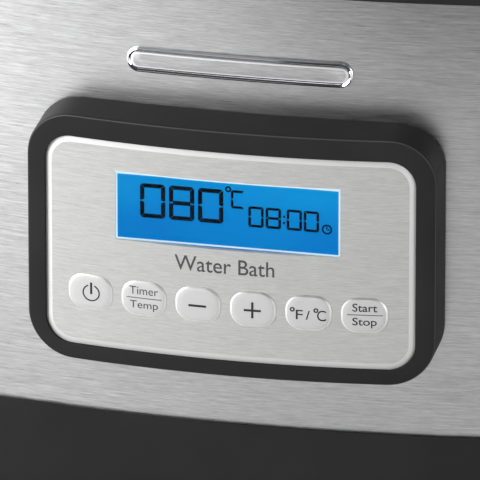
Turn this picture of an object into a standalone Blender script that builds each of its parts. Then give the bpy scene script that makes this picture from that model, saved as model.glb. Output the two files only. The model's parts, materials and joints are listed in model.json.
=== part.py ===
"""Countertop sous vide water bath with a circulating stirrer, as an assembly of separate pieces.

Sizes are in millimetres and are scaled to metres where a mesh is made. X runs to the right as the
user faces the control panel, Y runs to the back and Z runs up, with Z = 0 on the worktop.
Pieces are drawn about the middle of the housing; the empty "appliance" then carries them back by
CENTRE_SHIFT, so that the origin lies under the middle of the whole object's box.
"""

import math

import bmesh
import bpy
from mathutils import Vector

MM = 0.001
GAP = 0.3  # left between pieces that touch

# The housing's plan: four shallow bows joined by round corners. An inset runs inwards from it.
HALF_WIDTH = 165.0
HALF_DEPTH = 125.0
FRONT_BOW_R = 650.0
SIDE_BOW_R = 900.0
CORNER_R = 55.0
BOW_STEPS = 3
CORNER_STEPS = 4
SIDE_STEPS = 2

# Heights of the stacked casings
FOOT_TOP = 6.0
BASE_UNDERSIDE = 6.3
BASE_FLOOR = 9.0
BASE_TOP = 44.0
SHELL_BOTTOM = 41.3
SHELL_TOP = 214.0
RIM_BOTTOM = 211.0
RIM_TOP = 232.0
TANK_FLOOR = 63.0
TANK_LIP = 230.1
SHELL_WALL = 1.0

# The control panel: an outline seen from the front, on a face that bows less tightly than the housing
PANEL_Z = BASE_TOP + 74.3
PANEL_HALF_W = 74.3
PANEL_HALF_H = 47.1
PANEL_CORNER_R = 17.0
PANEL_DEPTH = 20.5
FACE_R = 405.0
FACE_Y = -HALF_DEPTH - PANEL_DEPTH
WINDOW_LEFT = -67.6
WINDOW_RIGHT = 67.1
WINDOW_TOP = 39.0
WINDOW_BOTTOM = -41.4
WINDOW_CORNER_R = 10.0
FRAME_FLANGE_BACK = 2.6
FASCIA_RECESS = 0.8
FASCIA_THICK = 1.5
FASCIA_CHAMFER_WIDTH = 2.4
FASCIA_CHAMFER_DROP = 0.45
LENS_LEFT = -41.2
LENS_RIGHT = 40.3
LENS_BOTTOM = 1.55
LENS_TOP = 27.2
BOARD_Y = FACE_Y + 13.0
BOARD_THICK = 1.6

# Keys in one row along the bowed fascia
KEY_NAMES = ("power_key", "mode_key", "minus_key", "plus_key", "unit_key", "start_key")
KEY_PITCH = 20.0
KEY_ROW_Z = -20.45
KEY_ROW_SHIFT = -0.8
KEY_HALF_W = 8.1
KEY_HALF_H = 6.7
KEY_CORNER_R = 5.6
KEY_CLEARANCE = 0.3
KEY_PROUD = 0.6

# The stirrer and the rack in the tank
SHAFT_R = 2.0
IMPELLER_BOTTOM = 68.0
IMPELLER_TOP = 82.0
IMPELLER_R = 25.0
BLADES = 4
RACK_HALF_X = 118.0
RACK_HALF_Y = 70.0
RACK_RAIL_Z = 93.0
DIVIDERS = 6
DIVIDER_PITCH = 40.0

REAR_REACH = HALF_DEPTH + 3.5
CENTRE_SHIFT = (-FACE_Y - REAR_REACH) / 2

for old in list(bpy.data.objects):
    bpy.data.objects.remove(old)
appliance = bpy.data.objects.new("appliance", None)
appliance.location = (0.0, CENTRE_SHIFT * MM, 0.0)
bpy.context.scene.collection.objects.link(appliance)


def material(name, colour, roughness, metallic=0.0, alpha=1.0):
    made = bpy.data.materials.new(name)
    made.use_nodes = True
    shader = made.node_tree.nodes["Principled BSDF"]
    shader.inputs["Base Color"].default_value = (*colour, 1.0)
    shader.inputs["Roughness"].default_value = roughness
    shader.inputs["Metallic"].default_value = metallic
    shader.inputs["Alpha"].default_value = alpha
    made.diffuse_color = (*colour, alpha)
    return made


BRUSHED_STEEL = material("brushed_steel", (0.62, 0.62, 0.62), 0.32, 1.0)
TANK_STEEL = material("tank_steel", (0.68, 0.68, 0.69), 0.22, 1.0)
WIRE_STEEL = material("wire_steel", (0.72, 0.72, 0.73), 0.15, 1.0)
CHROME = material("chrome", (0.82, 0.82, 0.84), 0.06, 1.0)
ALUMINIUM = material("aluminium", (0.75, 0.76, 0.77), 0.4, 1.0)
SCREW_STEEL = material("screw_steel", (0.5, 0.5, 0.52), 0.35, 1.0)
BLACK_PLASTIC = material("black_plastic", (0.035, 0.035, 0.037), 0.42)
DARK_PLASTIC = material("dark_plastic", (0.06, 0.06, 0.065), 0.55)
SILVER_FASCIA = material("silver_fascia", (0.66, 0.66, 0.66), 0.35, 0.8)
KEY_SILVER = material("key_silver", (0.74, 0.74, 0.74), 0.3, 0.5)
DISPLAY_BLUE = material("display_blue", (0.02, 0.36, 0.75), 0.25)
CLEAR_LENS = material("clear_lens", (0.9, 0.95, 1.0), 0.05, 0.0, 0.3)
LID_GLASS = material("lid_glass", (0.86, 0.92, 0.9), 0.03, 0.0, 0.3)
BLACK_RUBBER = material("black_rubber", (0.03, 0.03, 0.03), 0.85)
SILICONE = material("silicone", (0.72, 0.72, 0.7), 0.6)
CIRCUIT_GREEN = material("circuit_green", (0.03, 0.22, 0.1), 0.45)
GLASS_WOOL = material("glass_wool", (0.82, 0.78, 0.6), 0.95)
CABLE_GREY = material("cable_grey", (0.5, 0.5, 0.5), 0.6)


# Shapes: each function returns (points, faces), with the points in millimetres


def merged(*shapes):
    """Several shapes as one list of points and faces."""
    points, faces = [], []
    for more_points, more_faces in shapes:
        start = len(points)
        points += [tuple(p) for p in more_points]
        faces += [tuple(i + start for i in face) for face in more_faces]
    return points, faces


def loft(rings, closed=False, cap="ngon"):
    """Walls between rings of equal length. A closed loft joins its last ring to its first."""
    count = len(rings[0])
    faces = []
    pairs = len(rings) if closed else len(rings) - 1
    for r in range(pairs):
        low, high = r * count, (r + 1) % len(rings) * count
        for i in range(count):
            j = (i + 1) % count
            faces.append((low + i, low + j, high + j, high + i))
    if not closed:
        faces += cap_faces(0, count, cap)
        faces += cap_faces((len(rings) - 1) * count, count, cap)
    return [p for ring in rings for p in ring], faces


def cap_faces(start, count, cap):
    """One face over a flat ring, or strips across a ring whose upper and lower halves share their X."""
    if cap == "ngon":
        return [tuple(range(start, start + count))]
    half = count // 2
    last = start + count - 1
    return [(start + i, start + i + 1, last - i - 1, last - i) for i in range(half - 1)]


def box(low, high):
    (x0, y0, z0), (x1, y1, z1) = low, high
    rings = [[(x0, y0, z), (x1, y0, z), (x1, y1, z), (x0, y1, z)] for z in (z0, z1)]
    return loft(rings)


def turned(profile, segments=24, at=(0, 0, 0), axis=(0, 0, 1), bored=False):
    """A profile of (radius, height) turned about an axis. A bored one is a closed ring."""
    turn = Vector((0, 0, 1)).rotation_difference(Vector(axis))
    rings = []
    for radius, height in profile:
        angles = [2 * math.pi * k / segments for k in range(segments)]
        ring = [Vector((radius * math.cos(a), radius * math.sin(a), height)) for a in angles]
        rings.append([turn @ p + Vector(at) for p in ring])
    return loft(rings, closed=bored)


def cylinder(at, axis, radius, start, end, segments=20):
    return turned([(radius, start), (radius, end)], segments, at, axis)


def sweep(path, radius, sides=8, closed=False):
    """A round wire along a path of points."""
    path = [Vector(p) for p in path]
    count = len(path)
    rings = []
    side = None
    for i, point in enumerate(path):
        before = path[i - 1] if i or closed else point
        after = path[(i + 1) % count] if i < count - 1 or closed else point
        along = (after - before).normalized()
        if side is None:
            side = along.orthogonal().normalized()
        side = (side - along * side.dot(along)).normalized()
        other = along.cross(side)
        ring = []
        for k in range(sides):
            a = 2 * math.pi * k / sides
            ring.append(point + radius * (math.cos(a) * side + math.sin(a) * other))
        rings.append(ring)
    return loft(rings, closed=closed)


def round_loop(half_u, half_v, radius, steps):
    """A rounded rectangle about the origin as (u, v) points."""
    points = []
    for quarter, (su, sv) in enumerate(((1, 1), (-1, 1), (-1, -1), (1, -1))):
        for k in range(steps + 1):
            a = math.radians(90 * (quarter + k / steps))
            centre = (su * (half_u - radius), sv * (half_v - radius))
            points.append((centre[0] + radius * math.cos(a), centre[1] + radius * math.sin(a)))
    return points


def slab(outline, low, high):
    """A flat outline in plan, extruded between two heights."""
    return loft([[(x, y, z) for x, y in outline] for z in (low, high)])


# The housing's plan outline


def corner_fillet():
    """Centre of the corner arc that lies inside both the front bow and the side bow."""
    front = Vector((0.0, -HALF_DEPTH + FRONT_BOW_R))
    side = Vector((HALF_WIDTH - SIDE_BOW_R, 0.0))
    r1, r2 = FRONT_BOW_R - CORNER_R, SIDE_BOW_R - CORNER_R
    span = side - front
    along = (r1**2 - r2**2 + span.length_squared) / (2 * span.length)
    across = math.sqrt(r1**2 - along**2)
    foot = front + span.normalized() * along
    normal = Vector((span.y, -span.x)).normalized()
    options = (foot + normal * across, foot - normal * across)
    return front, side, next(p for p in options if p.x > 0 > p.y)


FRONT_CENTRE, SIDE_CENTRE, CORNER_CENTRE = corner_fillet()


def heading(centre):
    """Angle from straight forward, towards the right, at which the corner's centre lies."""
    d = CORNER_CENTRE - centre
    return math.atan2(d.x, -d.y)


def arc(centre, radius, start, end, steps):
    """Points on an arc whose angles run from straight forward towards the right, without the last."""
    angles = [start + (end - start) * k / steps for k in range(steps)]
    return [(centre.x + radius * math.sin(a), centre.y - radius * math.cos(a)) for a in angles]


def plan(inset):
    """The housing's plan outline, moved inwards by inset, anticlockwise from the middle of the front."""
    front_end, side_start = heading(FRONT_CENTRE), heading(SIDE_CENTRE)
    quarter = arc(FRONT_CENTRE, FRONT_BOW_R - inset, 0, front_end, BOW_STEPS)
    quarter += arc(CORNER_CENTRE, CORNER_R - inset, front_end, side_start, CORNER_STEPS)
    quarter += arc(SIDE_CENTRE, SIDE_BOW_R - inset, side_start, math.pi / 2, SIDE_STEPS)
    end = (HALF_WIDTH - inset, 0.0)
    right = quarter + [end] + [(x, -y) for x, y in reversed(quarter)]
    return right + [(-x, y) for x, y in reversed(right[1:-1])]


def plan_ring(inset, z):
    return [(x, y, z) for x, y in plan(inset)]


def band(profile):
    """A closed ring round the housing whose section is a list of (inset, height)."""
    return loft([plan_ring(inset, z) for inset, z in profile], closed=True)


def corner_point(inset, side_x, side_y):
    """A point at the middle of a corner, inset from the plan outline."""
    reach = (CORNER_R - inset) * math.sqrt(0.5)
    return side_x * (CORNER_CENTRE.x + reach), side_y * (-CORNER_CENTRE.y + reach)


# The panel's surfaces and outlines


def steel_y(x):
    return -HALF_DEPTH + FRONT_BOW_R - math.sqrt(FRONT_BOW_R**2 - x**2)


def face_y(x):
    return FACE_Y + FACE_R - math.sqrt(FACE_R**2 - x**2)


def front_outline(x0, x1, z0, z1, radius, grow=0.0, across=8, steps=4):
    """A rounded rectangle seen from the front: its upper half left to right, then its lower half back."""
    x0, x1, z0, z1 = x0 - grow, x1 + grow, z0 - grow, z1 + grow
    radius = max(radius + grow, 0.2)
    upper = []
    for k in range(steps + 1):
        a = math.radians(180 - 90 * k / steps)
        upper.append((x0 + radius + radius * math.cos(a), z1 - radius + radius * math.sin(a)))
    for k in range(1, across):
        upper.append((x0 + radius + (x1 - x0 - 2 * radius) * k / across, z1))
    for k in range(steps + 1):
        a = math.radians(90 - 90 * k / steps)
        upper.append((x1 - radius + radius * math.cos(a), z1 - radius + radius * math.sin(a)))
    lower = [(x, z0 + z1 - z) for x, z in reversed(upper)]
    return upper + lower


def frame_outline(grow=0.0):
    return front_outline(
        -PANEL_HALF_W, PANEL_HALF_W, -PANEL_HALF_H, PANEL_HALF_H, PANEL_CORNER_R, grow
    )


def window_outline(grow=0.0):
    return front_outline(
        WINDOW_LEFT, WINDOW_RIGHT, WINDOW_BOTTOM, WINDOW_TOP, WINDOW_CORNER_R, grow
    )


def key_x(index):
    """Middle of a key: equal steps along the bowed face, seen from the front."""
    return FACE_R * math.sin((KEY_ROW_SHIFT + (index - 2.5) * KEY_PITCH) / FACE_R)


def key_outline(index, grow=0.0):
    x = key_x(index)
    low, high = KEY_ROW_Z - KEY_HALF_H, KEY_ROW_Z + KEY_HALF_H
    return front_outline(
        x - KEY_HALF_W, x + KEY_HALF_W, low, high, KEY_CORNER_R, grow, across=1, steps=3
    )


def lens_outline(grow=0.0):
    return front_outline(
        LENS_LEFT, LENS_RIGHT, LENS_BOTTOM, LENS_TOP, 0.6, grow, across=1, steps=2
    )


def lay(outline, surface, offset):
    """An outline seen from the front, laid on a surface y = surface(x) and moved back by offset."""
    return [(x, surface(x) + offset, PANEL_Z + z) for x, z in outline]


def flat(y):
    return lambda x: y


def prism(outline, y0, y1):
    """An outline seen from the front, extruded between two depths."""
    return loft([lay(outline, flat(y), 0) for y in (y0, y1)])


# Objects


def add(name, shape, look, origin=(0.0, 0.0, 0.0)):
    """A closed mesh object with its origin at the given point, faces out."""
    points, faces = shape
    origin = Vector(origin)
    mesh = bpy.data.meshes.new(name)
    mesh.from_pydata([(Vector(p) - origin) * MM for p in points], [], faces)
    work = bmesh.new()
    work.from_mesh(mesh)
    bmesh.ops.recalc_face_normals(work, faces=work.faces)
    work.to_mesh(mesh)
    work.free()
    if look:
        mesh.materials.append(look)
        mesh.shade_smooth()
        mesh.set_sharp_from_angle(angle=math.radians(32))
    made = bpy.data.objects.new(name, mesh)
    made.location = origin * MM
    made.parent = appliance
    bpy.context.scene.collection.objects.link(made)
    return made


def combine(target, operation, *shapes):
    """Cuts or joins a piece with helper shapes, which stay hidden."""
    helper = add(f"helper_{operation.lower()}_{target.name}", merged(*shapes), None)
    helper.hide_render = True
    helper.display_type = "WIRE"
    step = target.modifiers.new(operation.lower(), "BOOLEAN")
    step.operation = operation
    step.object = helper
    return target


def cut(target, *shapes):
    return combine(target, "DIFFERENCE", *shapes)


def join(target, *shapes):
    return combine(target, "UNION", *shapes)


def round_edges(target, width):
    step = target.modifiers.new("edges", "BEVEL")
    step.width = width * MM
    step.segments = 1
    step.limit_method = "ANGLE"
    step.angle_limit = math.radians(40)
    return target


def screw(at, axis, head_r, head_h, shank_r, length, segments=8):
    """A pan-head screw: its head's outer face is at the point and the shank runs along the axis."""
    profile = [(head_r * 0.8, 0), (head_r, head_h * 0.4), (head_r, head_h)]
    profile += [(shank_r, head_h), (shank_r, head_h + length)]
    return turned(profile, segments, at, axis)


CORNERS = ((-1, -1), (1, -1), (-1, 1), (1, 1))
CORNER_NAMES = ("front_left", "front_right", "rear_left", "rear_right")
UP = (0, 0, 1)

# Base, feet and tie rods

FOOT_X, FOOT_Y = 120.0, 85.0
FOOT_R = 11.0
FOOT_NECK_R = 4.5
ROD_INSET = 11.0
ROD_R = 2.0
ROD_TOP = 219.0
INLET_Z = 26.0
VENT_SLOTS = 4
POWER_BOARD_Z = 17.3
BOARD_POSTS = ((-134, -39), (-36, -39), (-134, 39), (-36, 39))


def make_base():
    section = [
        (3.5, BASE_FLOOR),
        (3.5, BASE_TOP - 1),
        (1.3, BASE_TOP - 1),
        (1.3, BASE_TOP - 3),
        (-0.3, BASE_TOP - 3),
        (-0.3, BASE_TOP),
        (-1.0, BASE_TOP),
        (-1.0, 12.0),
        (0.5, 8.0),
        (4.0, BASE_UNDERSIDE),
    ]
    base = add("base_shell", loft([plan_ring(*p) for p in section]), BLACK_PLASTIC)
    holes = []
    for sx, sy in CORNERS:
        foot = (sx * FOOT_X, sy * FOOT_Y, 0)
        rod = (*corner_point(ROD_INSET, sx, sy), 0)
        holes.append(cylinder(foot, UP, FOOT_NECK_R + 0.5, 0, 20, 12))
        holes.append(cylinder(rod, UP, ROD_R + 0.5, 0, 20, 8))
    for sx in (-1, 1):
        for k in range(VENT_SLOTS):
            y = (k - (VENT_SLOTS - 1) / 2) * 14.0
            low = (min(sx * 50, sx * 90), y - 1.75, 0)
            holes.append(box(low, (low[0] + 40, y + 1.75, 20)))
    holes.append(box((-13.9, 110, INLET_Z - 9.9), (13.9, 140, INLET_Z + 9.9)))
    cut(base, *holes)
    post = [(3.5, BASE_FLOOR - 1), (3.5, POWER_BOARD_Z - GAP), (1.6, POWER_BOARD_Z - GAP)]
    post += [(1.6, POWER_BOARD_Z + 4.0)]
    join(base, *[turned(post, 8, (x, y, 0)) for x, y in BOARD_POSTS])


def make_feet():
    profile = [(9.5, 0), (FOOT_R, 1.5), (FOOT_R, FOOT_TOP), (FOOT_NECK_R, FOOT_TOP)]
    profile += [(FOOT_NECK_R, BASE_FLOOR + GAP), (6.0, BASE_FLOOR + GAP), (4.0, BASE_FLOOR + 4)]
    for name, (sx, sy) in zip(CORNER_NAMES, CORNERS):
        at = (sx * FOOT_X, sy * FOOT_Y, 0)
        add(f"foot_{name}", turned(profile, 16, at), BLACK_RUBBER, at)


def make_tie_rods():
    for name, (sx, sy) in zip(CORNER_NAMES, CORNERS):
        at = (*corner_point(ROD_INSET, sx, sy), 3.4)
        rod = screw(at, UP, 4.0, 2.6, ROD_R, ROD_TOP - 6.0)
        add(f"tie_rod_{name}", rod, SCREW_STEEL, at)


# Steel wrap and top rim

CABLE_WINDOW = (-60.0, 60.0, -25.0, 25.0)
PANEL_SCREWS = [(sx * 68.5, sz * 30.0) for sx in (-1, 1) for sz in (-1, 1)]
PANEL_SCREW_NAMES = ("lower_left", "upper_left", "lower_right", "upper_right")
HANDLE_SCREW_Y = 48.0
HANDLE_Z = 195.0


def make_housing_shell():
    section = [(0, SHELL_BOTTOM), (0, SHELL_TOP), (SHELL_WALL, SHELL_TOP), (SHELL_WALL, SHELL_BOTTOM)]
    shell = add("housing_shell", band(section), BRUSHED_STEEL)
    x0, x1, z0, z1 = CABLE_WINDOW
    holes = [prism(front_outline(x0, x1, z0, z1, 8.0, steps=3), -135, -110)]
    for x, z in PANEL_SCREWS:
        holes.append(cylinder((x, 0, PANEL_Z + z), (0, -1, 0), 2.0, 110, 135, 8))
    for sx in (-1, 1):
        for sy in (-1, 1):
            at = (0, sy * HANDLE_SCREW_Y, HANDLE_Z)
            holes.append(cylinder(at, (sx, 0, 0), 2.5, 150, 175, 8))
    cut(shell, *holes)


def make_top_rim():
    section = [
        (-1.5, RIM_BOTTOM),
        (-1.5, RIM_TOP - 3.5),
        (1.5, RIM_TOP),
        (11.5, RIM_TOP),
        (11.5, 227.0),
        (20.0, 227.0),
        (20.0, 223.0),
        (3.8, 223.0),
        (3.8, RIM_BOTTOM),
        (1.3, RIM_BOTTOM),
        (1.3, SHELL_TOP + GAP),
        (-0.3, SHELL_TOP + GAP),
        (-0.3, RIM_BOTTOM),
    ]
    rim = add("top_rim", band(section), BLACK_PLASTIC)
    bosses, holes = [], []
    for sx, sy in CORNERS:
        at = (*corner_point(ROD_INSET, sx, sy), 0)
        bosses.append(cylinder(at, UP, 5.0, 205.0, 224.5, 10))
        holes.append(cylinder(at, UP, ROD_R + 0.5, 200.0, ROD_TOP + 2.0, 8))
    join(rim, *bosses)
    cut(rim, *holes)


def make_handles():
    """Side grips: a bow in plan with a finger gap, trimmed to the steel they are screwed to."""
    for name, side in (("handle_left", -1), ("handle_right", 1)):
        outer = [(158, -56), (178, -56), (190, -51), (197, -40), (198, -28)]
        inner = [(158, 40), (175, 40), (183, 35), (186, 26)]
        half = [(x, y) for x, y in outer]
        outline = half + [(x, -y) for x, y in reversed(half)]
        outline += inner + [(x, -y) for x, y in reversed(inner)]
        outline = [(side * x, y) for x, y in outline]
        grip = add(name, slab(outline, HANDLE_Z - 9, HANDLE_Z + 9), BLACK_PLASTIC)
        round_edges(grip, 2.5)
        wall = slab(plan(-GAP), HANDLE_Z - 20, HANDLE_Z + 20)
        holes = []
        for sy in (-1, 1):
            at = (0, sy * HANDLE_SCREW_Y, HANDLE_Z)
            holes.append(cylinder(at, (side, 0, 0), 2.5, 150, 176, 8))
        cut(grip, wall)
        cut(grip, *holes)


def make_handle_screws():
    for name, (sx, sy) in zip(CORNER_NAMES, CORNERS):
        at = (sx * 159.6, sy * HANDLE_SCREW_Y, HANDLE_Z)
        add(f"handle_screw_{name}", screw(at, (sx, 0, 0), 4.0, 2.2, 2.0, 12.5), SCREW_STEEL, at)


# Tank, its gasket, insulation and heating

SEAL_BODY_R = 7.0
PROBE_AT = (100.0, 40.0)
THERMOSTAT_AT = (58.0, 0.0)
SPREADER_TOP = 61.7
SPREADER_BOTTOM = 55.5
ELEMENT_Z = 51.7
ELEMENT_R = 3.5


def make_tank():
    outside = [(38.5, 62.0), (31.0, 66.0), (27.0, 75.0), (24.5, 229.1), (12.2, 229.1)]
    inside = [(12.2, TANK_LIP), (24.3, TANK_LIP), (25.5, 228.0), (28.0, 75.5), (31.8, 67.0)]
    inside += [(39.0, TANK_FLOOR)]
    tank = add("tank", loft([plan_ring(*p) for p in outside + inside]), TANK_STEEL)
    seal_hole = cylinder((0, 0, 0), UP, SEAL_BODY_R + 0.5, 50, 75, 16)
    probe_hole = cylinder((*PROBE_AT, 0), UP, 4.6, 50, 75, 12)
    cut(tank, seal_hole, probe_hole)


def make_tank_gasket():
    section = [(13.0, 227.3), (13.0, 228.8), (19.5, 228.8), (19.5, 227.3)]
    add("tank_gasket", band(section), SILICONE)


def make_insulation():
    section = [(17.0, 78.0), (17.0, 218.0), (24.1, 218.0), (24.1, 78.0)]
    add("insulation_wrap", band(section), GLASS_WOOL)


def make_heat_spreader():
    rings = [plan_ring(46.0, SPREADER_BOTTOM), plan_ring(46.0, SPREADER_TOP)]
    plate = add("heat_spreader", loft(rings), ALUMINIUM)
    seal_hole = cylinder((0, 0, 0), UP, SEAL_BODY_R + 0.5, 50, 70, 16)
    probe_hole = cylinder((*PROBE_AT, 0), UP, 4.6, 50, 70, 12)
    cut(plate, seal_hole, probe_hole)


def make_heating_element():
    """A tubular heater in one loop under the spreader, whose two ends turn down at the left."""
    loop = round_loop(80.0, 45.0, 24.0, 3)
    turn = len(loop) // 2  # the loop's points start at the right, so the left side is half way round
    path = loop[turn:] + loop[:turn]
    path = [(x, y, ELEMENT_Z) for x, y in path]
    first = [(-80, -10, 36), (-80, -10, 46), (-80, -12.5, 50.2)]
    last = [(x, -y, z) for x, y, z in reversed(first)]
    add("heating_element", sweep(first + path + last, ELEMENT_R, sides=6), SCREW_STEEL)


def make_probe_and_thermostat():
    probe = [(3.6, 46), (4.0, 47), (4.0, TANK_FLOOR + GAP), (7.0, TANK_FLOOR + GAP)]
    probe += [(7.0, 65.5), (2.5, 66.5), (2.5, 84.0), (1.5, 85.5)]
    at = (*PROBE_AT, 0)
    add("temperature_probe", turned(probe, 12, at), WIRE_STEEL, at)
    at = (*THERMOSTAT_AT, 0)
    can = [(6.5, 46.0), (6.5, 49.0), (9.0, 49.5), (9.0, SPREADER_BOTTOM - GAP)]
    add("safety_thermostat", turned(can, 16, at), ALUMINIUM, at)


# Stirrer: motor and bracket under the tank, shaft through a seal, impeller under a guard

MOTOR_R = 20.0
BRACKET_Z = 40.3
GUARD_R = 34.0
GUARD_TOP = 88.0
GUARD_SLOTS = 6
GUARD_SEGMENTS = 24


def make_motor():
    can = [(MOTOR_R - 1, 16), (MOTOR_R, 17), (MOTOR_R, 39), (MOTOR_R - 1, 40), (5, 40), (5, 44)]
    motor = add("stirrer_motor", turned(can, 20), SCREW_STEEL)
    cut(motor, cylinder((0, 0, 0), UP, SHAFT_R + 0.4, 34, 50, 12))
    plate = box((-38, -14, BRACKET_Z), (38, 14, BRACKET_Z + 2))
    bracket = add("motor_bracket", plate, ALUMINIUM)
    walls = []
    for sx in (-1, 1):
        inner, outer = sx * 36, sx * 38
        low, high = min(inner, outer), max(inner, outer)
        walls.append(box((low, -14, BRACKET_Z + 1), (high, 14, SPREADER_BOTTOM - GAP)))
    join(bracket, *walls)
    cut(bracket, cylinder((0, 0, 0), UP, 5.5, 30, 50, 16))


def make_seal():
    bore = SHAFT_R + 0.4
    section = [(bore, 55.8), (SEAL_BODY_R, 55.8), (SEAL_BODY_R, TANK_FLOOR + GAP)]
    section += [(10.0, TANK_FLOOR + GAP), (10.0, 65.0), (5.0, 66.5), (bore, 66.5)]
    add("shaft_seal", turned(section, 16, bored=True), BLACK_RUBBER)


def make_impeller():
    hub = [(6.0, IMPELLER_BOTTOM), (6.0, IMPELLER_TOP - 2), (3.5, IMPELLER_TOP)]
    impeller = add("impeller", turned(hub, 12), DARK_PLASTIC)
    blades = []
    for k in range(BLADES):
        points, faces = box((4.0, -1.0, -5.0), (IMPELLER_R, 1.0, 5.0))
        pitch = math.radians(28)
        turn = 2 * math.pi * k / BLADES
        tilted = []
        for x, y, z in points:
            y, z = y * math.cos(pitch) - z * math.sin(pitch), y * math.sin(pitch) + z * math.cos(pitch)
            x, y = x * math.cos(turn) - y * math.sin(turn), x * math.sin(turn) + y * math.cos(turn)
            tilted.append((x, y, z + 74.5))
        blades.append((tilted, faces))
    join(impeller, *blades)
    cut(impeller, cylinder((0, 0, 0), UP, SHAFT_R + 0.4, 60, 79.4, 12))
    add("stirrer_shaft", cylinder((0, 0, 0), UP, SHAFT_R, 36, 79, 12), WIRE_STEEL)


def make_guard():
    """A cap with slots in its top and its side, open at the bottom."""
    low = TANK_FLOOR + GAP
    cap = [(GUARD_R, low), (GUARD_R, GUARD_TOP - 3), (GUARD_R - 3, GUARD_TOP)]
    guard = add("impeller_guard", turned(cap, GUARD_SEGMENTS), TANK_STEEL)
    inside = [(GUARD_R - 1.2, low - 1), (GUARD_R - 1.2, GUARD_TOP - 3.5), (GUARD_R - 3.8, GUARD_TOP - 1.2)]
    cut(guard, turned(inside, GUARD_SEGMENTS))
    holes = []
    for k in range(GUARD_SLOTS):
        a = 2 * math.pi * k / GUARD_SLOTS
        holes.append(turned_box((12, -2, GUARD_TOP - 6), (26, 2, GUARD_TOP + 4), a))
        holes.append(turned_box((28, -5, low + 4), (40, 5, low + 16), a))
    cut(guard, *holes)


def turned_box(low, high, angle):
    points, faces = box(low, high)
    c, s = math.cos(angle), math.sin(angle)
    return [(x * c - y * s, x * s + y * c, z) for x, y, z in points], faces


# Rack for the pouches

WIRE_R = 1.5
RAIL_R = 2.0
DIVIDER_TOP = 190.0


def divider_x(index):
    return (index - (DIVIDERS - 1) / 2) * DIVIDER_PITCH


def make_rack():
    """A welded wire rack: a rail loop on four legs, crossed by the wires of the dividers."""
    rail = [(x, y, RACK_RAIL_Z) for x, y in round_loop(RACK_HALF_X, RACK_HALF_Y, 12.0, 3)]
    rack = add("rack", sweep(rail, RAIL_R, sides=6, closed=True), WIRE_STEEL)
    legs = []
    for sx, sy in CORNERS:
        at = (sx * (RACK_HALF_X - 30), sy * RACK_HALF_Y, 0)
        legs.append(cylinder(at, UP, RAIL_R, TANK_FLOOR + 0.4, RACK_RAIL_Z, 6))
    join(rack, *legs)
    low = RACK_RAIL_Z + 1.0
    bend = round_loop(RACK_HALF_Y, DIVIDER_TOP - low, 14.0, 2)
    arch = [(y, z) for y, z in bend if z > 0]
    dividers = []
    for k in range(DIVIDERS):
        x = divider_x(k)
        path = [(x, RACK_HALF_Y, low)] + [(x, y, low + z) for y, z in arch] + [(x, -RACK_HALF_Y, low)]
        dividers.append(sweep(path, WIRE_R, sides=6, closed=True))
    join(rack, *dividers)


# Lid

LID_GLASS_LOW = 239.7
LID_GLASS_TOP = 243.7
LID_HANDLE_TOP = 274.0
POST_X = 42.0
VENT_AT = (85.0, 0.0)


def make_lid():
    section = [
        (3.0, 232.6),
        (3.0, 235.5),
        (6.0, 239.5),
        (12.0, 241.7),
        (39.7, 243.2),
        (39.7, 239.4),
        (46.0, 239.4),
        (46.0, 236.9),
        (30.3, 236.9),
        (30.3, 220.0),
        (28.2, 220.0),
        (28.2, 236.0),
        (13.0, 236.0),
        (8.0, 235.2),
        (6.0, 232.6),
    ]
    add("lid_frame", band(section), BLACK_PLASTIC)
    gasket = [(14.0, TANK_LIP + GAP), (14.0, 235.7), (19.0, 235.7), (19.0, TANK_LIP + GAP)]
    add("lid_gasket", band(gasket), SILICONE)
    rings = [plan_ring(40.0, LID_GLASS_LOW), plan_ring(40.0, LID_GLASS_TOP - 0.8)]
    rings += [plan_ring(41.0, LID_GLASS_TOP)]
    glass = add("lid_glass", loft(rings), LID_GLASS)
    holes = [cylinder((sx * POST_X, 0, 0), UP, 2.6, 230, 250, 8) for sx in (-1, 1)]
    holes.append(cylinder((*VENT_AT, 0), UP, 4.0, 230, 250, 12))
    cut(glass, *holes)
    vent = [(2.0, 237.5), (5.0, 237.5), (5.0, LID_GLASS_LOW - GAP), (3.5, LID_GLASS_LOW - GAP)]
    vent += [(3.5, LID_GLASS_TOP + GAP), (5.5, LID_GLASS_TOP + GAP), (5.0, 245.4), (2.0, 245.4)]
    add("steam_vent", turned(vent, 12, (*VENT_AT, 0), bored=True), WIRE_STEEL)


def make_lid_handle():
    low = LID_HANDLE_TOP - 12
    bar = slab(round_loop(62.0, 11.0, 10.5, 3), low, LID_HANDLE_TOP)
    handle = add("lid_handle", bar, BLACK_PLASTIC)
    round_edges(handle, 3.0)
    posts, holes = [], []
    for side, sx in (("left", -1), ("right", 1)):
        at = (sx * POST_X, 0, 0)
        posts.append(turned([(9, LID_GLASS_TOP + GAP), (8, 250), (8.5, low + 4)], 14, at))
        holes.append(cylinder(at, UP, 2.5, 235, 257, 8))
        below = (sx * POST_X, 0, 236.6)
        add(f"lid_screw_{side}", screw(below, UP, 6.0, 2.8, 2.0, 15.0, 12), SCREW_STEEL, below)
    join(handle, *posts)
    cut(handle, *holes)


# Control panel


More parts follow.
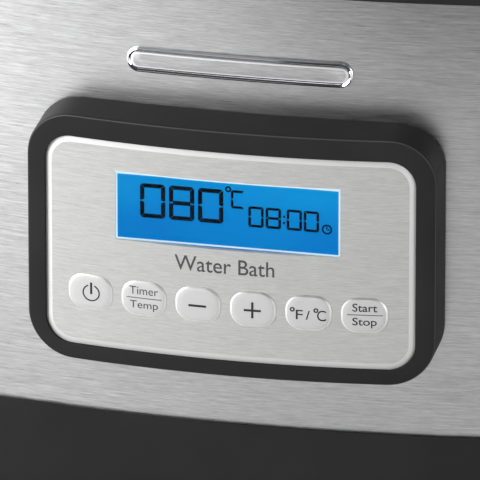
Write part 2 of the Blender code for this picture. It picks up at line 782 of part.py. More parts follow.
def make_panel_frame():
    wall = 2.5
    flange = FRAME_FLANGE_BACK
    root = -1.6
    rings = [
        lay(frame_outline(), steel_y, root),
        lay(frame_outline(), face_y, 1.0),
        lay(frame_outline(-0.35), face_y, 0.3),
        lay(frame_outline(-1.1), face_y, 0.0),
        lay(window_outline(0.3), face_y, 0.0),
        lay(window_outline(), face_y, 0.3),
        lay(window_outline(), face_y, flange),
        lay(frame_outline(-wall), face_y, flange),
        lay(frame_outline(-wall), steel_y, root),
    ]
    frame = add("panel_frame", loft(rings, closed=True), BLACK_PLASTIC)
    bosses, holes = [], []
    for x, z in PANEL_SCREWS:
        at = (x, 0, PANEL_Z + z)
        bosses.append(cylinder(at, (0, -1, 0), 4.0, 129.8, 134.8, 12))
        holes.append(cylinder(at, (0, -1, 0), 1.9, 120.0, 133.6, 8))
    join(frame, *bosses)
    cut(frame, *holes)
    rings = [lay(frame_outline(grow), steel_y, back) for grow, back in
             ((-0.3, -GAP), (-0.3, -1.3), (-2.3, -1.3), (-2.3, -GAP))]
    add("panel_gasket", loft(rings, closed=True), BLACK_RUBBER)


def make_fascia():
    """The silver plate: a wide shallow chamfer, then a step down to an edge under the frame's lip."""
    edge = FRAME_FLANGE_BACK + GAP
    rings = [
        lay(window_outline(-2.4), face_y, FASCIA_RECESS + FASCIA_THICK),
        lay(window_outline(-1.8), face_y, edge + FASCIA_THICK),
        lay(window_outline(2.4), face_y, edge + FASCIA_THICK),
        lay(window_outline(2.4), face_y, edge),
        lay(window_outline(-GAP), face_y, edge),
        lay(window_outline(-GAP), face_y, FASCIA_RECESS + FASCIA_CHAMFER_DROP),
        lay(window_outline(-FASCIA_CHAMFER_WIDTH), face_y, FASCIA_RECESS),
    ]
    fascia = add("panel_fascia", loft(rings, cap="strips"), SILVER_FASCIA)
    cut(fascia, prism(lens_outline(GAP), -150, -130))
    keys = range(len(KEY_NAMES))
    cut(fascia, *[prism(key_outline(k, KEY_CLEARANCE), -150, -130) for k in keys])


def make_display():
    front, back = FACE_Y + 2.9, FACE_Y + 6.5
    rings = [
        lay(lens_outline(), flat(back), 0),
        lay(lens_outline(), flat(front + 0.5), 0),
        lay(lens_outline(-0.5), flat(front), 0),
    ]
    add("lcd_lens", loft(rings), CLEAR_LENS)
    module = box(
        (LENS_LEFT - 2.5, back + GAP, PANEL_Z + LENS_BOTTOM - 2.0),
        (LENS_RIGHT + 2.5, BOARD_Y - GAP, PANEL_Z + LENS_TOP + 2.0),
    )
    add("lcd_module", module, DISPLAY_BLUE)


def make_key(index, name):
    """A key cap with a chamfered edge, a flange behind the fascia and a stem that works a switch."""
    x = key_x(index)
    recess = FASCIA_RECESS
    behind = FASCIA_RECESS + FASCIA_THICK + GAP
    rings = [
        lay(key_outline(index, 0.9), face_y, behind + 1.0),
        lay(key_outline(index, 0.9), face_y, behind),
        lay(key_outline(index), face_y, behind),
        lay(key_outline(index), face_y, recess - 0.2),
        lay(key_outline(index, -0.85), face_y, recess - KEY_PROUD),
    ]
    origin = (x, face_y(x), PANEL_Z + KEY_ROW_Z)
    key = add(name, loft(rings, cap="strips"), KEY_SILVER, origin)
    stem_start = face_y(x) + behind + 0.5
    tip = SWITCH_FRONT + STEM_IN_WELL
    stem = cylinder((x, 0, PANEL_Z + KEY_ROW_Z), (0, -1, 0), 1.4, -tip, -stem_start, 8)
    join(key, stem)


SWITCH_FRONT = BOARD_Y - 3.8
SWITCH_WELL = 2.7
STEM_IN_WELL = 1.0
BUZZER_AT = (53.0, 14.0)


def make_control_board():
    """The board behind the keys, with a hollow switch for each key's stem and a round buzzer."""
    outline = front_outline(-62.0, 62.0, -37.0, 36.0, 4.0, across=1, steps=2)
    board = add("control_board", prism(outline, BOARD_Y, BOARD_Y + BOARD_THICK), CIRCUIT_GREEN)
    parts, wells = [], []
    well_floor = SWITCH_FRONT + SWITCH_WELL
    for k in range(len(KEY_NAMES)):
        x, z = key_x(k), PANEL_Z + KEY_ROW_Z
        parts.append(box((x - 3, SWITCH_FRONT, z - 3), (x + 3, BOARD_Y + 0.5, z + 3)))
        wells.append(cylinder((x, 0, z), (0, -1, 0), 2.0, -well_floor, -SWITCH_FRONT + 2, 8))
    at = (BUZZER_AT[0], BOARD_Y + 0.5, PANEL_Z + BUZZER_AT[1])
    parts.append(cylinder(at, (0, -1, 0), 4.5, 0, 4.0, 12))
    wells.append(cylinder(at, (0, -1, 0), 1.0, 2.5, 6.0, 6))
    join(board, *parts)
    cut(board, *wells)


PANEL_BACK_FRONT = -129.5
RIBBON_X = -49.0
RIBBON_HALF_W = 6.0


def make_panel_back():
    outline = frame_outline(-2.5 - GAP)
    back = add("panel_back", prism(outline, PANEL_BACK_FRONT, PANEL_BACK_FRONT + 2.0), DARK_PLASTIC)
    holes = []
    for x, z in PANEL_SCREWS:
        holes.append(cylinder((x, 0, PANEL_Z + z), (0, -1, 0), 1.9, 120, 140, 8))
    half = RIBBON_HALF_W + 1
    holes.append(box((RIBBON_X - half, -140, 88.0), (RIBBON_X + half, -120, 106.0)))
    cut(back, *holes)
    for name, (x, z) in zip(PANEL_SCREW_NAMES, PANEL_SCREWS):
        at = (x, steel_y(x) + SHELL_WALL + 3.2, PANEL_Z + z)
        add(f"panel_screw_{name}", screw(at, (0, -1, 0), 3.5, 2.2, 1.5, 9.5), SCREW_STEEL, at)


def make_ribbon():
    """A flat cable from the control board down the inside of the front wall to the power board."""
    thick = 1.0
    path = [(-130.5, 100), (-124, 98), (-117, 93), (-114, 84), (-114, 38), (-110, 30)]
    path += [(-100, 26.5), (-60, 25), (-44, 22.8), (-38, 19.9)]
    upper, lower = [], []
    for i, (y, z) in enumerate(path):
        y0, z0 = path[max(i - 1, 0)]
        y1, z1 = path[min(i + 1, len(path) - 1)]
        along = Vector((y1 - y0, z1 - z0)).normalized()
        upper.append((y + along.y * thick / 2, z - along.x * thick / 2))
        lower.append((y - along.y * thick / 2, z + along.x * thick / 2))
    rings = []
    for a, b in zip(upper, lower):
        low, high = RIBBON_X - RIBBON_HALF_W, RIBBON_X + RIBBON_HALF_W
        rings.append([(low, *a), (high, *a), (high, *b), (low, *b)])
    add("ribbon_cable", loft(rings), CABLE_GREY)


BADGE_Z = (59.0, 68.5)


def make_badge():
    """A blank chrome nameplate on the steel above the panel."""
    low, high = BADGE_Z
    rings = []
    for grow, back in ((0.0, -GAP), (0.0, -1.2), (-0.7, -1.8)):
        outline = front_outline(-41.0, 41.0, low, high, 4.6, grow, across=6, steps=3)
        rings.append(lay(outline, steel_y, back))
    add("badge", loft(rings, cap="strips"), CHROME)


# Power electronics and mains inlet

BOARD_BOX = ((-140.0, -45.0), (-30.0, 45.0))


def make_power_electronics():
    """The power board with its relay, capacitor and terminal block, and the transformer on it."""
    (x0, y0), (x1, y1) = BOARD_BOX
    top = POWER_BOARD_Z + BOARD_THICK
    board = add("power_board", box((x0, y0, POWER_BOARD_Z), (x1, y1, top)), CIRCUIT_GREEN)
    low = top - 0.5
    relay = box((-90, -16, low), (-70, 2, low + 15.5))
    capacitor = box((-92, 20, low), (-72, 31, low + 14.5))
    terminals = box((-62, 22, low), (-38, 34, low + 11.5))
    join(board, relay, capacitor, terminals)
    holes = [cylinder((x, y, 0), UP, 2.1, 0, 30, 8) for x, y in BOARD_POSTS]
    holes += [cylinder((x, 28, 0), UP, 2.2, low + 4, 60, 8) for x in (-57, -50, -43)]
    cut(board, *holes)
    low = top + GAP
    core = add("transformer", box((-134, -20, low), (-98, 16, low + 24)), SCREW_STEEL)
    join(core, box((-129, -25, low + 4), (-103, 21, low + 20)))


def make_mains_inlet():
    flange_y = HALF_DEPTH + 1.3
    flange = box((-25, flange_y, INLET_Z - 11.5), (25, REAR_REACH, INLET_Z + 11.5))
    inlet = add("mains_inlet", flange, DARK_PLASTIC)
    join(inlet, box((-13.5, 104, INLET_Z - 9.5), (13.5, flange_y + 1, INLET_Z + 9.5)))
    cavity = box((-12, 111, INLET_Z - 8), (12, 140, INLET_Z + 8))
    ears = [cylinder((x, 0, INLET_Z), (0, 1, 0), 1.8, 120, 140, 8) for x in (-20, 20)]
    cut(inlet, cavity, *ears)
    blades = []
    for x, z in ((-7.0, 2.0), (0.0, -2.0), (7.0, 2.0)):
        blades.append(box((x - 1, 98, INLET_Z + z - 2), (x + 1, 121, INLET_Z + z + 2)))
    join(inlet, *blades)


make_base()
make_feet()
make_tie_rods()
make_housing_shell()
make_top_rim()
make_handles()
make_handle_screws()
make_tank()
make_tank_gasket()
make_insulation()
make_heat_spreader()
make_heating_element()
make_probe_and_thermostat()
make_motor()
make_seal()
make_impeller()
make_guard()
make_rack()
make_lid()
make_lid_handle()
make_panel_frame()
make_fascia()
make_display()
for number, key_name in enumerate(KEY_NAMES):
    make_key(number, key_name)
make_control_board()
make_panel_back()
make_ribbon()
make_badge()
make_power_electronics()
make_mains_inlet()
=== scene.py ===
"""Looks of the countertop sous vide water bath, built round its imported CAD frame.

Shapes are drawn in millimetres about the middle of the housing, as a designer would dimension them,
and are carried to the frame's metres when a mesh is made.
"""

import json
import math

import bmesh
import bpy
from mathutils import Matrix, Vector


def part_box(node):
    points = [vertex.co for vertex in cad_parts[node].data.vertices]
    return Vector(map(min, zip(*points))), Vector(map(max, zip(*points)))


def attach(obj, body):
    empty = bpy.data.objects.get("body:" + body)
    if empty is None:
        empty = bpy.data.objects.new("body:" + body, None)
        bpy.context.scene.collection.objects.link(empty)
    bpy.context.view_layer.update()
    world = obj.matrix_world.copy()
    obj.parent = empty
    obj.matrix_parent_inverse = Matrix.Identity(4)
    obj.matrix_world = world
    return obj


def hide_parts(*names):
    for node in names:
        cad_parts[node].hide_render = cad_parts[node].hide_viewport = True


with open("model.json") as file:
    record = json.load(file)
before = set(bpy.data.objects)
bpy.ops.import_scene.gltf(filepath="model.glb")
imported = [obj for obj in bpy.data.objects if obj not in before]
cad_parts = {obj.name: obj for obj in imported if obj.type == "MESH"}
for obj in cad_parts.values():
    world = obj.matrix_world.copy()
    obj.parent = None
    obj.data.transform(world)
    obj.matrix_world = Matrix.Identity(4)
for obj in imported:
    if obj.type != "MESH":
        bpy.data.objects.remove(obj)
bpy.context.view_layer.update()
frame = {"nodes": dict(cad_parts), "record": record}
NODES = frame["nodes"]

MM = 0.001
UP, FORWARD, BACK = (0, 0, 1), (0, -1, 0), (0, 1, 0)
SHELL_LOW, SHELL_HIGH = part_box("housing_shell")
CENTRE = Vector((0.0, (SHELL_LOW.y + SHELL_HIGH.y) / 2, 0.0))


def box_mm(node):
    """A CAD node's corners, in millimetres about the middle of the housing."""
    low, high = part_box(node)
    return (low - CENTRE) / MM, (high - CENTRE) / MM


# Driving dimensions, from the frame where it has them

HALF_WIDTH = (SHELL_HIGH.x - SHELL_LOW.x) / 2 / MM
HALF_DEPTH = (SHELL_HIGH.y - SHELL_LOW.y) / 2 / MM
SHELL_BOTTOM, SHELL_TOP = SHELL_LOW.z / MM, SHELL_HIGH.z / MM
FRONT_BOW_R = 650.0
SIDE_BOW_R = 900.0
CORNER_R = 55.0
GAP = 0.3

PANEL_LOW, PANEL_HIGH = box_mm("panel_frame")
PANEL_Z = (PANEL_LOW.z + PANEL_HIGH.z) / 2
PANEL_HALF_W = (PANEL_HIGH.x - PANEL_LOW.x) / 2
PANEL_HALF_H = (PANEL_HIGH.z - PANEL_LOW.z) / 2
PANEL_CORNER_R = 17.0
FACE_Y = PANEL_LOW.y
FACE_R = 405.0
WINDOW_LEFT = -67.6
WINDOW_RIGHT = 67.1
WINDOW_TOP = 39.0
WINDOW_BOTTOM = -41.4
WINDOW_CORNER_R = 10.0
FRAME_FLANGE_BACK = 2.6
FASCIA_RECESS = 0.8
FASCIA_THICK = 1.5

KEY_NAMES = ("power_key", "mode_key", "minus_key", "plus_key", "unit_key", "start_key")
KEY_HALF_W = 8.3
KEY_HALF_H = 6.75
KEY_CORNER_R = 5.8
KEY_PROUD = 0.6


# Shapes: each function returns (points, faces), with the points in millimetres


def merged(*shapes):
    points, faces = [], []
    for more_points, more_faces in shapes:
        start = len(points)
        points += [tuple(p) for p in more_points]
        faces += [tuple(i + start for i in face) for face in more_faces]
    return points, faces


def loft(rings, closed=False, cap="ngon"):
    """Walls between rings of equal length. A closed loft joins its last ring to its first."""
    count = len(rings[0])
    faces = []
    pairs = len(rings) if closed else len(rings) - 1
    for r in range(pairs):
        low, high = r * count, (r + 1) % len(rings) * count
        for i in range(count):
            j = (i + 1) % count
            faces.append((low + i, low + j, high + j, high + i))
    if not closed:
        faces += cap_faces(0, count, cap)
        faces += cap_faces((len(rings) - 1) * count, count, cap)
    return [p for ring in rings for p in ring], faces


def cap_faces(start, count, cap):
    """One face over a flat ring, or strips across a ring whose upper and lower halves share X."""
    if cap == "ngon":
        return [tuple(range(start, start + count))]
    half = count // 2
    last = start + count - 1
    return [(start + i, start + i + 1, last - i - 1, last - i) for i in range(half - 1)]


def box(low, high):
    (x0, y0, z0), (x1, y1, z1) = low, high
    rings = [[(x0, y0, z), (x1, y0, z), (x1, y1, z), (x0, y1, z)] for z in (z0, z1)]
    return loft(rings)


def turned(profile, segments=48, at=(0, 0, 0), axis=UP, bored=False):
    """A profile of (radius, height) turned about an axis. A bored one is a closed ring."""
    turn = Vector(UP).rotation_difference(Vector(axis))
    rings = []
    for radius, height in profile:
        angles = [2 * math.pi * k / segments for k in range(segments)]
        ring = [Vector((radius * math.cos(a), radius * math.sin(a), height)) for a in angles]
        rings.append([turn @ p + Vector(at) for p in ring])
    return loft(rings, closed=bored)


def cylinder(at, axis, radius, start, end, segments=40):
    return turned([(radius, start), (radius, end)], segments, at, axis)


def sweep(path, radius, sides=12, closed=False):
    """A round wire along a path of points."""
    path = [Vector(p) for p in path]
    count = len(path)
    rings = []
    side = None
    for i, point in enumerate(path):
        before = path[i - 1] if i or closed else point
        after = path[(i + 1) % count] if i < count - 1 or closed else point
        along = (after - before).normalized()
        if side is None:
            side = along.orthogonal().normalized()
        side = (side - along * side.dot(along)).normalized()
        other = along.cross(side)
        ring = []
        for k in range(sides):
            a = 2 * math.pi * k / sides
            ring.append(point + radius * (math.cos(a) * side + math.sin(a) * other))
        rings.append(ring)
    return loft(rings, closed=closed)


def round_loop(half_u, half_v, radius, steps):
    """A rounded rectangle about the origin as (u, v) points."""
    points = []
    for quarter, (su, sv) in enumerate(((1, 1), (-1, 1), (-1, -1), (1, -1))):
        for k in range(steps + 1):
            a = math.radians(90 * (quarter + k / steps))
            centre = (su * (half_u - radius), sv * (half_v - radius))
            points.append((centre[0] + radius * math.cos(a), centre[1] + radius * math.sin(a)))
    return points


def slab(outline, low, high):
    return loft([[(x, y, z) for x, y in outline] for z in (low, high)])


def rounded(profile, radius, steps=4, closed=True):
    """A profile with each of its corners rounded, by less where its sides are short."""
    out = []
    count = len(profile)
    for i in range(count):
        p = Vector(profile[i])
        if not closed and i in (0, count - 1):
            out.append((p.x, p.y))
            continue
        before = Vector(profile[i - 1]) - p
        after = Vector(profile[(i + 1) % count]) - p
        cut_back = min(radius, 0.4 * before.length, 0.4 * after.length)
        a, b = p + before.normalized() * cut_back, p + after.normalized() * cut_back
        for k in range(steps + 1):
            t = k / steps
            q = a * (1 - t) ** 2 + p * 2 * t * (1 - t) + b * t**2
            out.append((q.x, q.y))
    return out


def placed(shape, at, axis=UP, spin=0.0):
    """A shape drawn about the origin along +Z, turned to an axis and moved to a point."""
    points, faces = shape
    turn = Vector(UP).rotation_difference(Vector(axis)).to_matrix()
    turn = turn @ Matrix.Rotation(spin, 3, "Z")
    return [turn @ Vector(p) + Vector(at) for p in points], faces


# The housing's plan outline

BOW_STEPS = 18
CORNER_STEPS = 12
SIDE_STEPS = 10


def corner_fillet():
    """Centre of the corner arc that lies inside both the front bow and the side bow."""
    front = Vector((0.0, -HALF_DEPTH + FRONT_BOW_R))
    side = Vector((HALF_WIDTH - SIDE_BOW_R, 0.0))
    r1, r2 = FRONT_BOW_R - CORNER_R, SIDE_BOW_R - CORNER_R
    span = side - front
    along = (r1**2 - r2**2 + span.length_squared) / (2 * span.length)
    across = math.sqrt(r1**2 - along**2)
    foot = front + span.normalized() * along
    normal = Vector((span.y, -span.x)).normalized()
    options = (foot + normal * across, foot - normal * across)
    return front, side, next(p for p in options if p.x > 0 > p.y)


FRONT_CENTRE, SIDE_CENTRE, CORNER_CENTRE = corner_fillet()


def heading(centre):
    """Angle from straight forward, towards the right, at which the corner's centre lies."""
    d = CORNER_CENTRE - centre
    return math.atan2(d.x, -d.y)


def arc(centre, radius, start, end, steps):
    angles = [start + (end - start) * k / steps for k in range(steps)]
    return [(centre.x + radius * math.sin(a), centre.y - radius * math.cos(a)) for a in angles]


def plan(inset):
    """The housing's plan outline moved inwards by inset, anticlockwise from mid front."""
    front_end, side_start = heading(FRONT_CENTRE), heading(SIDE_CENTRE)
    quarter = arc(FRONT_CENTRE, FRONT_BOW_R - inset, 0, front_end, BOW_STEPS)
    quarter += arc(CORNER_CENTRE, CORNER_R - inset, front_end, side_start, CORNER_STEPS)
    quarter += arc(SIDE_CENTRE, SIDE_BOW_R - inset, side_start, math.pi / 2, SIDE_STEPS)
    end = (HALF_WIDTH - inset, 0.0)
    right = quarter + [end] + [(x, -y) for x, y in reversed(quarter)]
    return right + [(-x, y) for x, y in reversed(right[1:-1])]


def plan_ring(inset, z):
    return [(x, y, z) for x, y in plan(inset)]


def band(profile):
    """A closed ring round the housing whose section is a list of (inset, height)."""
    return loft([plan_ring(inset, z) for inset, z in profile], closed=True)


# The panel's surfaces and outlines


def steel_y(x):
    return -HALF_DEPTH + FRONT_BOW_R - math.sqrt(FRONT_BOW_R**2 - x**2)


def face_y(x):
    return FACE_Y + FACE_R - math.sqrt(FACE_R**2 - x**2)


def front_outline(x0, x1, z0, z1, radius, grow=0.0, across=40, steps=16):
    """A rounded rectangle from the front: its upper half to the right, its lower half back."""
    x0, x1, z0, z1 = x0 - grow, x1 + grow, z0 - grow, z1 + grow
    radius = max(radius + grow, 0.2)
    upper = []
    for k in range(steps + 1):
        a = math.radians(180 - 90 * k / steps)
        upper.append((x0 + radius + radius * math.cos(a), z1 - radius + radius * math.sin(a)))
    for k in range(1, across):
        upper.append((x0 + radius + (x1 - x0 - 2 * radius) * k / across, z1))
    for k in range(steps + 1):
        a = math.radians(90 - 90 * k / steps)
        upper.append((x1 - radius + radius * math.cos(a), z1 - radius + radius * math.sin(a)))
    lower = [(x, z0 + z1 - z) for x, z in reversed(upper)]
    return upper + lower


def frame_outline(grow=0.0):
    return front_outline(
        -PANEL_HALF_W, PANEL_HALF_W, -PANEL_HALF_H, PANEL_HALF_H, PANEL_CORNER_R, grow
    )


def window_outline(grow=0.0):
    return front_outline(
        WINDOW_LEFT, WINDOW_RIGHT, WINDOW_BOTTOM, WINDOW_TOP, WINDOW_CORNER_R, grow
    )


def key_centre(name):
    low, high = box_mm(name)
    return (low.x + high.x) / 2, (low.z + high.z) / 2 - PANEL_Z


def key_outline(name, grow=0.0):
    x, z = key_centre(name)
    bounds = (x - KEY_HALF_W, x + KEY_HALF_W, z - KEY_HALF_H, z + KEY_HALF_H)
    return front_outline(*bounds, KEY_CORNER_R, grow, across=8, steps=12)


LENS_LOW, LENS_HIGH = box_mm("lcd_lens")


def lens_outline(grow=0.0):
    bounds = (LENS_LOW.x, LENS_HIGH.x, LENS_LOW.z - PANEL_Z, LENS_HIGH.z - PANEL_Z)
    return front_outline(*bounds, 0.6, grow, across=2, steps=4)


def lay(outline, surface, offset):
    """An outline seen from the front, laid on a surface y = surface(x) and moved back by offset."""
    return [(x, surface(x) + offset, PANEL_Z + z) for x, z in outline]


def flat(y):
    return lambda x: y


def prism(outline, y0, y1):
    return loft([lay(outline, flat(y), 0) for y in (y0, y1)])


# Objects


def linked(name, data):
    made = bpy.data.objects.new(name, data)
    bpy.context.scene.collection.objects.link(made)
    return made


def shade(mesh, smooth):
    """Smooth shading, with a sharp edge wherever two faces meet at more than smooth degrees."""
    mesh.shade_smooth()
    mesh.set_sharp_from_angle(angle=math.radians(smooth))


def add(name, shape, look, node=None, body="housing", smooth=35):
    """A piece riding on a body. It takes the place of the CAD node given."""
    points, faces = shape
    mesh = bpy.data.meshes.new(name)
    mesh.from_pydata([Vector(p) * MM + CENTRE for p in points], [], faces)
    return finish(mesh, look, node, body, smooth)


def finish(mesh, look, node=None, body="housing", smooth=35, weld=0.0):
    """Makes a piece of a mesh: its faces point out, and points closer than weld become one."""
    work = bmesh.new()
    work.from_mesh(mesh)
    if weld:
        bmesh.ops.remove_doubles(work, verts=work.verts, dist=weld)
    bmesh.ops.recalc_face_normals(work, faces=work.faces)
    work.to_mesh(mesh)
    work.free()
    mesh.materials.clear()
    mesh.materials.append(look)
    shade(mesh, smooth)
    made = linked(mesh.name, mesh)
    if body:
        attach(made, body)
    if node:
        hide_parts(node)
    return made


def evaluated_mesh(made):
    bpy.context.view_layer.update()
    graph = bpy.context.evaluated_depsgraph_get()
    return bpy.data.meshes.new_from_object(made.evaluated_get(graph))


def second_look(made, look, ring_length, first, last):
    """Gives another look to the faces of a loft from its first to its last ring given."""
    made.data.materials.append(look)
    low, high = first * ring_length, (last + 1) * ring_length
    for face in made.data.polygons:
        if low <= min(face.vertices) and max(face.vertices) < high:
            face.material_index = 1


def carve(target, operation, *shapes, smooth=35):
    """Cuts shapes out of a piece, or joins them to it, at once."""
    tool = add("tool", merged(*shapes), target.data.materials[0], body=None)
    step = target.modifiers.new(operation, "BOOLEAN")
    step.operation = operation
    step.object = tool
    step.use_self = operation == "UNION"
    made = evaluated_mesh(target)
    target.modifiers.clear()
    old = target.data
    made.name = old.name
    target.data = made
    bpy.data.meshes.remove(old)
    bpy.data.objects.remove(tool)
    shade(made, smooth)


def cut(target, *shapes):
    carve(target, "DIFFERENCE", *shapes)


def join(target, *shapes):
    carve(target, "UNION", *shapes)


def soften(target, width, segments=3, angle=30):
    """Rounds a piece's edges."""
    step = target.modifiers.new("edges", "BEVEL")
    step.width = width * MM
    step.segments = segments
    step.limit_method = "ANGLE"
    step.angle_limit = math.radians(angle)
    step.harden_normals = True


# Materials. Their coordinates are the frame's metres, because every piece's origin is the frame's.


def linear(*levels):
    """A colour given in display levels of 0 to 255, as the shader's linear values."""
    out = []
    for level in levels:
        c = level / 255
        out.append(c / 12.92 if c <= 0.04045 else ((c + 0.055) / 1.055) ** 2.4)
    return (*out, 1.0)


def grey(level):
    return linear(level, level, level)


def fill(node, **values):
    """Sets a node's inputs and settings by name, and links an input where a socket is given."""
    for key, value in values.items():
        socket = node.inputs.get(key.replace("_", " "))
        if socket is None:
            setattr(node, key, value)
        elif isinstance(value, bpy.types.NodeSocket):
            node.id_data.links.new(value, socket)
        else:
            socket.default_value = value


def put(tree, kind, **values):
    """A new node with some of its inputs and settings filled in."""
    made = tree.nodes.new(kind)
    fill(made, **values)
    return made


def principled(name, colour, roughness, metallic=0.0, **sockets):
    """A new material, its tree and its shader."""
    made = bpy.data.materials.new(name)
    made.use_nodes = True
    shader = made.node_tree.nodes["Principled BSDF"]
    fill(shader, Base_Color=colour, Roughness=roughness, Metallic=metallic, **sockets)
    made.diffuse_color = colour
    return made, made.node_tree, shader


def noise(tree, size, detail=3.0, roughness=0.55):
    """Noise whose cells are about size millimetres along X, Y and Z."""
    place = put(tree, "ShaderNodeTexCoord").outputs["Object"]
    scale = [1 / MM / s for s in size]
    mapped = put(tree, "ShaderNodeMapping", Vector=place, Scale=scale).outputs["Vector"]
    settings = {"Vector": mapped, "Scale": 1.0, "Detail": detail, "Roughness": roughness}
    return put(tree, "ShaderNodeTexNoise", **settings).outputs["Fac"]


def spread(tree, value, low, high, from_low=0.3, from_high=0.7):
    """A value of about from_low to from_high, spread over low to high."""
    ends = {"From_Min": from_low, "From_Max": from_high, "To_Min": low, "To_Max": high}
    return put(tree, "ShaderNodeMapRange", Value=value, **ends).outputs["Result"]


def blend_colours(tree, factor, first, second):
    made = put(tree, "ShaderNodeMix", data_type="RGBA", Factor=factor, A=first, B=second)
    return made.outputs["Result"]


def bump(tree, shader, height, depth_mm, strength):
    made = put(tree, "ShaderNodeBump", Height=height, Strength=strength, Distance=depth_mm * MM)
    fill(shader, Normal=made.outputs["Normal"])


def brushed(
    name, dark, light, rough, grain=(13, 13, 0.44), contrast=1.0, anisotropy=0.6, metal=1.0
):
    """Metal brushed along the horizontal: streaks in its colour, its roughness and its height."""
    made, tree, shader = principled(name, light, sum(rough) / 2, metal, Anisotropic=anisotropy)
    around = put(tree, "ShaderNodeTangent", direction_type="RADIAL", axis="Z")
    fill(shader, Anisotropic_Rotation=0.25, Tangent=around.outputs["Tangent"])
    long_streaks = noise(tree, grain, 4.0, 0.7)
    fine_streaks = noise(tree, [g * s for g, s in zip(grain, (0.3, 0.3, 0.4))], 2.0)
    mixed = put(tree, "ShaderNodeMix", Factor=0.35, A=long_streaks, B=fine_streaks)
    streaks = mixed.outputs["Result"]
    half = 0.2 / contrast
    factor = spread(tree, streaks, 0.0, 1.0, 0.5 - half, 0.5 + half)
    shade = blend_colours(tree, factor, dark, light)
    fill(shader, Base_Color=shade, Roughness=spread(tree, streaks, *rough))
    bump(tree, shader, streaks, 0.02, 0.35)
    return made


def moulded(name, colour, lighter, rough=(0.42, 0.55), grain=0.35, depth=0.02, **sockets):
    """Moulded plastic or rubber: a fine spark-eroded grain and slow, slight changes of shade."""
    made, tree, shader = principled(name, colour, sum(rough) / 2, **sockets)
    slow = noise(tree, (30, 30, 30), 2.0)
    fine = noise(tree, (grain, grain, grain), 2.0)
    shade = blend_colours(tree, spread(tree, slow, 0.0, 1.0), colour, lighter)
    fill(shader, Base_Color=shade, Roughness=spread(tree, fine, *rough))
    bump(tree, shader, fine, depth, 0.5)
    return made


def plain_metal(name, colour, rough, size=6, depth=0.01, metal=1.0):
    """Bright metal with slight clouding in its roughness."""
    made, tree, shader = principled(name, colour, sum(rough) / 2, metal)
    clouds = noise(tree, (size, size, size))
    fill(shader, Roughness=spread(tree, clouds, *rough))
    bump(tree, shader, clouds, depth, 0.25)
    return made


def clear(name, tint, roughness=0.02, ior=1.5, **sockets):
    made, tree, shader = principled(name, tint, roughness, IOR=ior, **sockets)
    smears = spread(tree, noise(tree, (25, 25, 25), 4.0), roughness, roughness + 0.03)
    fill(shader, Transmission_Weight=1.0, Roughness=smears)
    return made


def backlit(name, top, bottom, dim, strength):
    """A backlit layer whose colour runs from the display's bottom to its top, with soft clouds."""
    made, tree, shader = principled(name, top, 0.35, Specular_IOR_Level=0.0)
    place = put(tree, "ShaderNodeTexCoord").outputs["Object"]
    parts = put(tree, "ShaderNodeSeparateXYZ", Vector=place)
    rise = spread(tree, parts.outputs["Z"], 0.0, 1.0, LENS_LOW.z * MM, LENS_HIGH.z * MM)
    clouds = spread(tree, noise(tree, (40, 40, 14), 1.0), -0.2, 0.2)
    level = put(tree, "ShaderNodeMath", operation="ADD", use_clamp=True)
    tree.links.new(rise, level.inputs[0])
    tree.links.new(clouds, level.inputs[1])
    colour = blend_colours(tree, level.outputs["Value"], bottom, top)
    fill(shader, Base_Color=dim, Emission_Color=colour, Emission_Strength=strength)
    return made


STEEL = brushed("brushed_steel", linear(160, 160, 161), linear(222, 222, 223), (0.25, 0.4))
FASCIA = brushed(
    "brushed_fascia", linear(153, 153, 152), linear(181, 181, 180), (0.44, 0.54),
    grain=(9, 9, 0.34), contrast=1.3, anisotropy=0.3, metal=0.4,
)
# The fascia's chamfer: a lighter metal than the plate, a painted highlight that keeps it bright all
# round.
FASCIA_CHAMFER_PAINTED_HIGHLIGHT = plain_metal("fascia_chamfer_painted_highlight", grey(198), (0.42, 0.47), 9, 0.003, 0.5)
KEY_SATIN = plain_metal("key_satin", grey(177), (0.44, 0.5), 3, 0.01, 0.3)
# The key chamfer: lighter, more polished metal than the key, a painted highlight.
KEY_CHAMFER_PAINTED_HIGHLIGHT = plain_metal("key_chamfer_painted_highlight", grey(226), (0.3, 0.34), 3, 0.004, 0.9)
TANK_STEEL = plain_metal("tank_steel", linear(206, 206, 208), (0.2, 0.27), 45, 0.004)
WIRE_STEEL = plain_metal("wire_steel", linear(216, 216, 218), (0.1, 0.2))
CHROME = plain_metal("chrome", linear(232, 232, 235), (0.03, 0.08))
SCREW_STEEL = plain_metal("screw_steel", linear(180, 180, 184), (0.28, 0.42), 1)
CAST_ALUMINIUM = plain_metal("aluminium", linear(200, 202, 204), (0.35, 0.5), 2, 0.05)
BRASS = plain_metal("brass", linear(206, 176, 104), (0.2, 0.35))
BLACK_PLASTIC = moulded(
    "black_plastic", grey(30), grey(34), (0.55, 0.68), IOR=1.25, Specular_IOR_Level=0.3
)
# A lighter copy of the black plastic for the frame's front rounding: a painted highlight.
BLACK_EDGE_PAINTED_HIGHLIGHT = moulded("black_plastic_painted_highlight", grey(50), grey(56), (0.42, 0.52), IOR=1.4)
DARK_PLASTIC = moulded("dark_plastic", linear(40, 40, 41), linear(46, 46, 48), (0.5, 0.62))
RUBBER = moulded("black_rubber", grey(34), grey(42), (0.75, 0.9), 0.6)
SILICONE = moulded("silicone", linear(205, 205, 202), linear(214, 214, 210), (0.5, 0.65), 1.0)
CIRCUIT = moulded("circuit_green", linear(24, 92, 54), linear(30, 104, 62), (0.3, 0.45), 1.2)
WOOL = moulded("glass_wool", linear(214, 204, 158), linear(232, 224, 186), (0.9, 1.0), 1.6, 0.6)
CABLE = moulded("cable_grey", grey(150), grey(165), (0.5, 0.6), 0.8)
LENS = clear("clear_lens", (0.97, 0.98, 1.0, 1.0), 0.04, 1.1, Specular_IOR_Level=0.2)
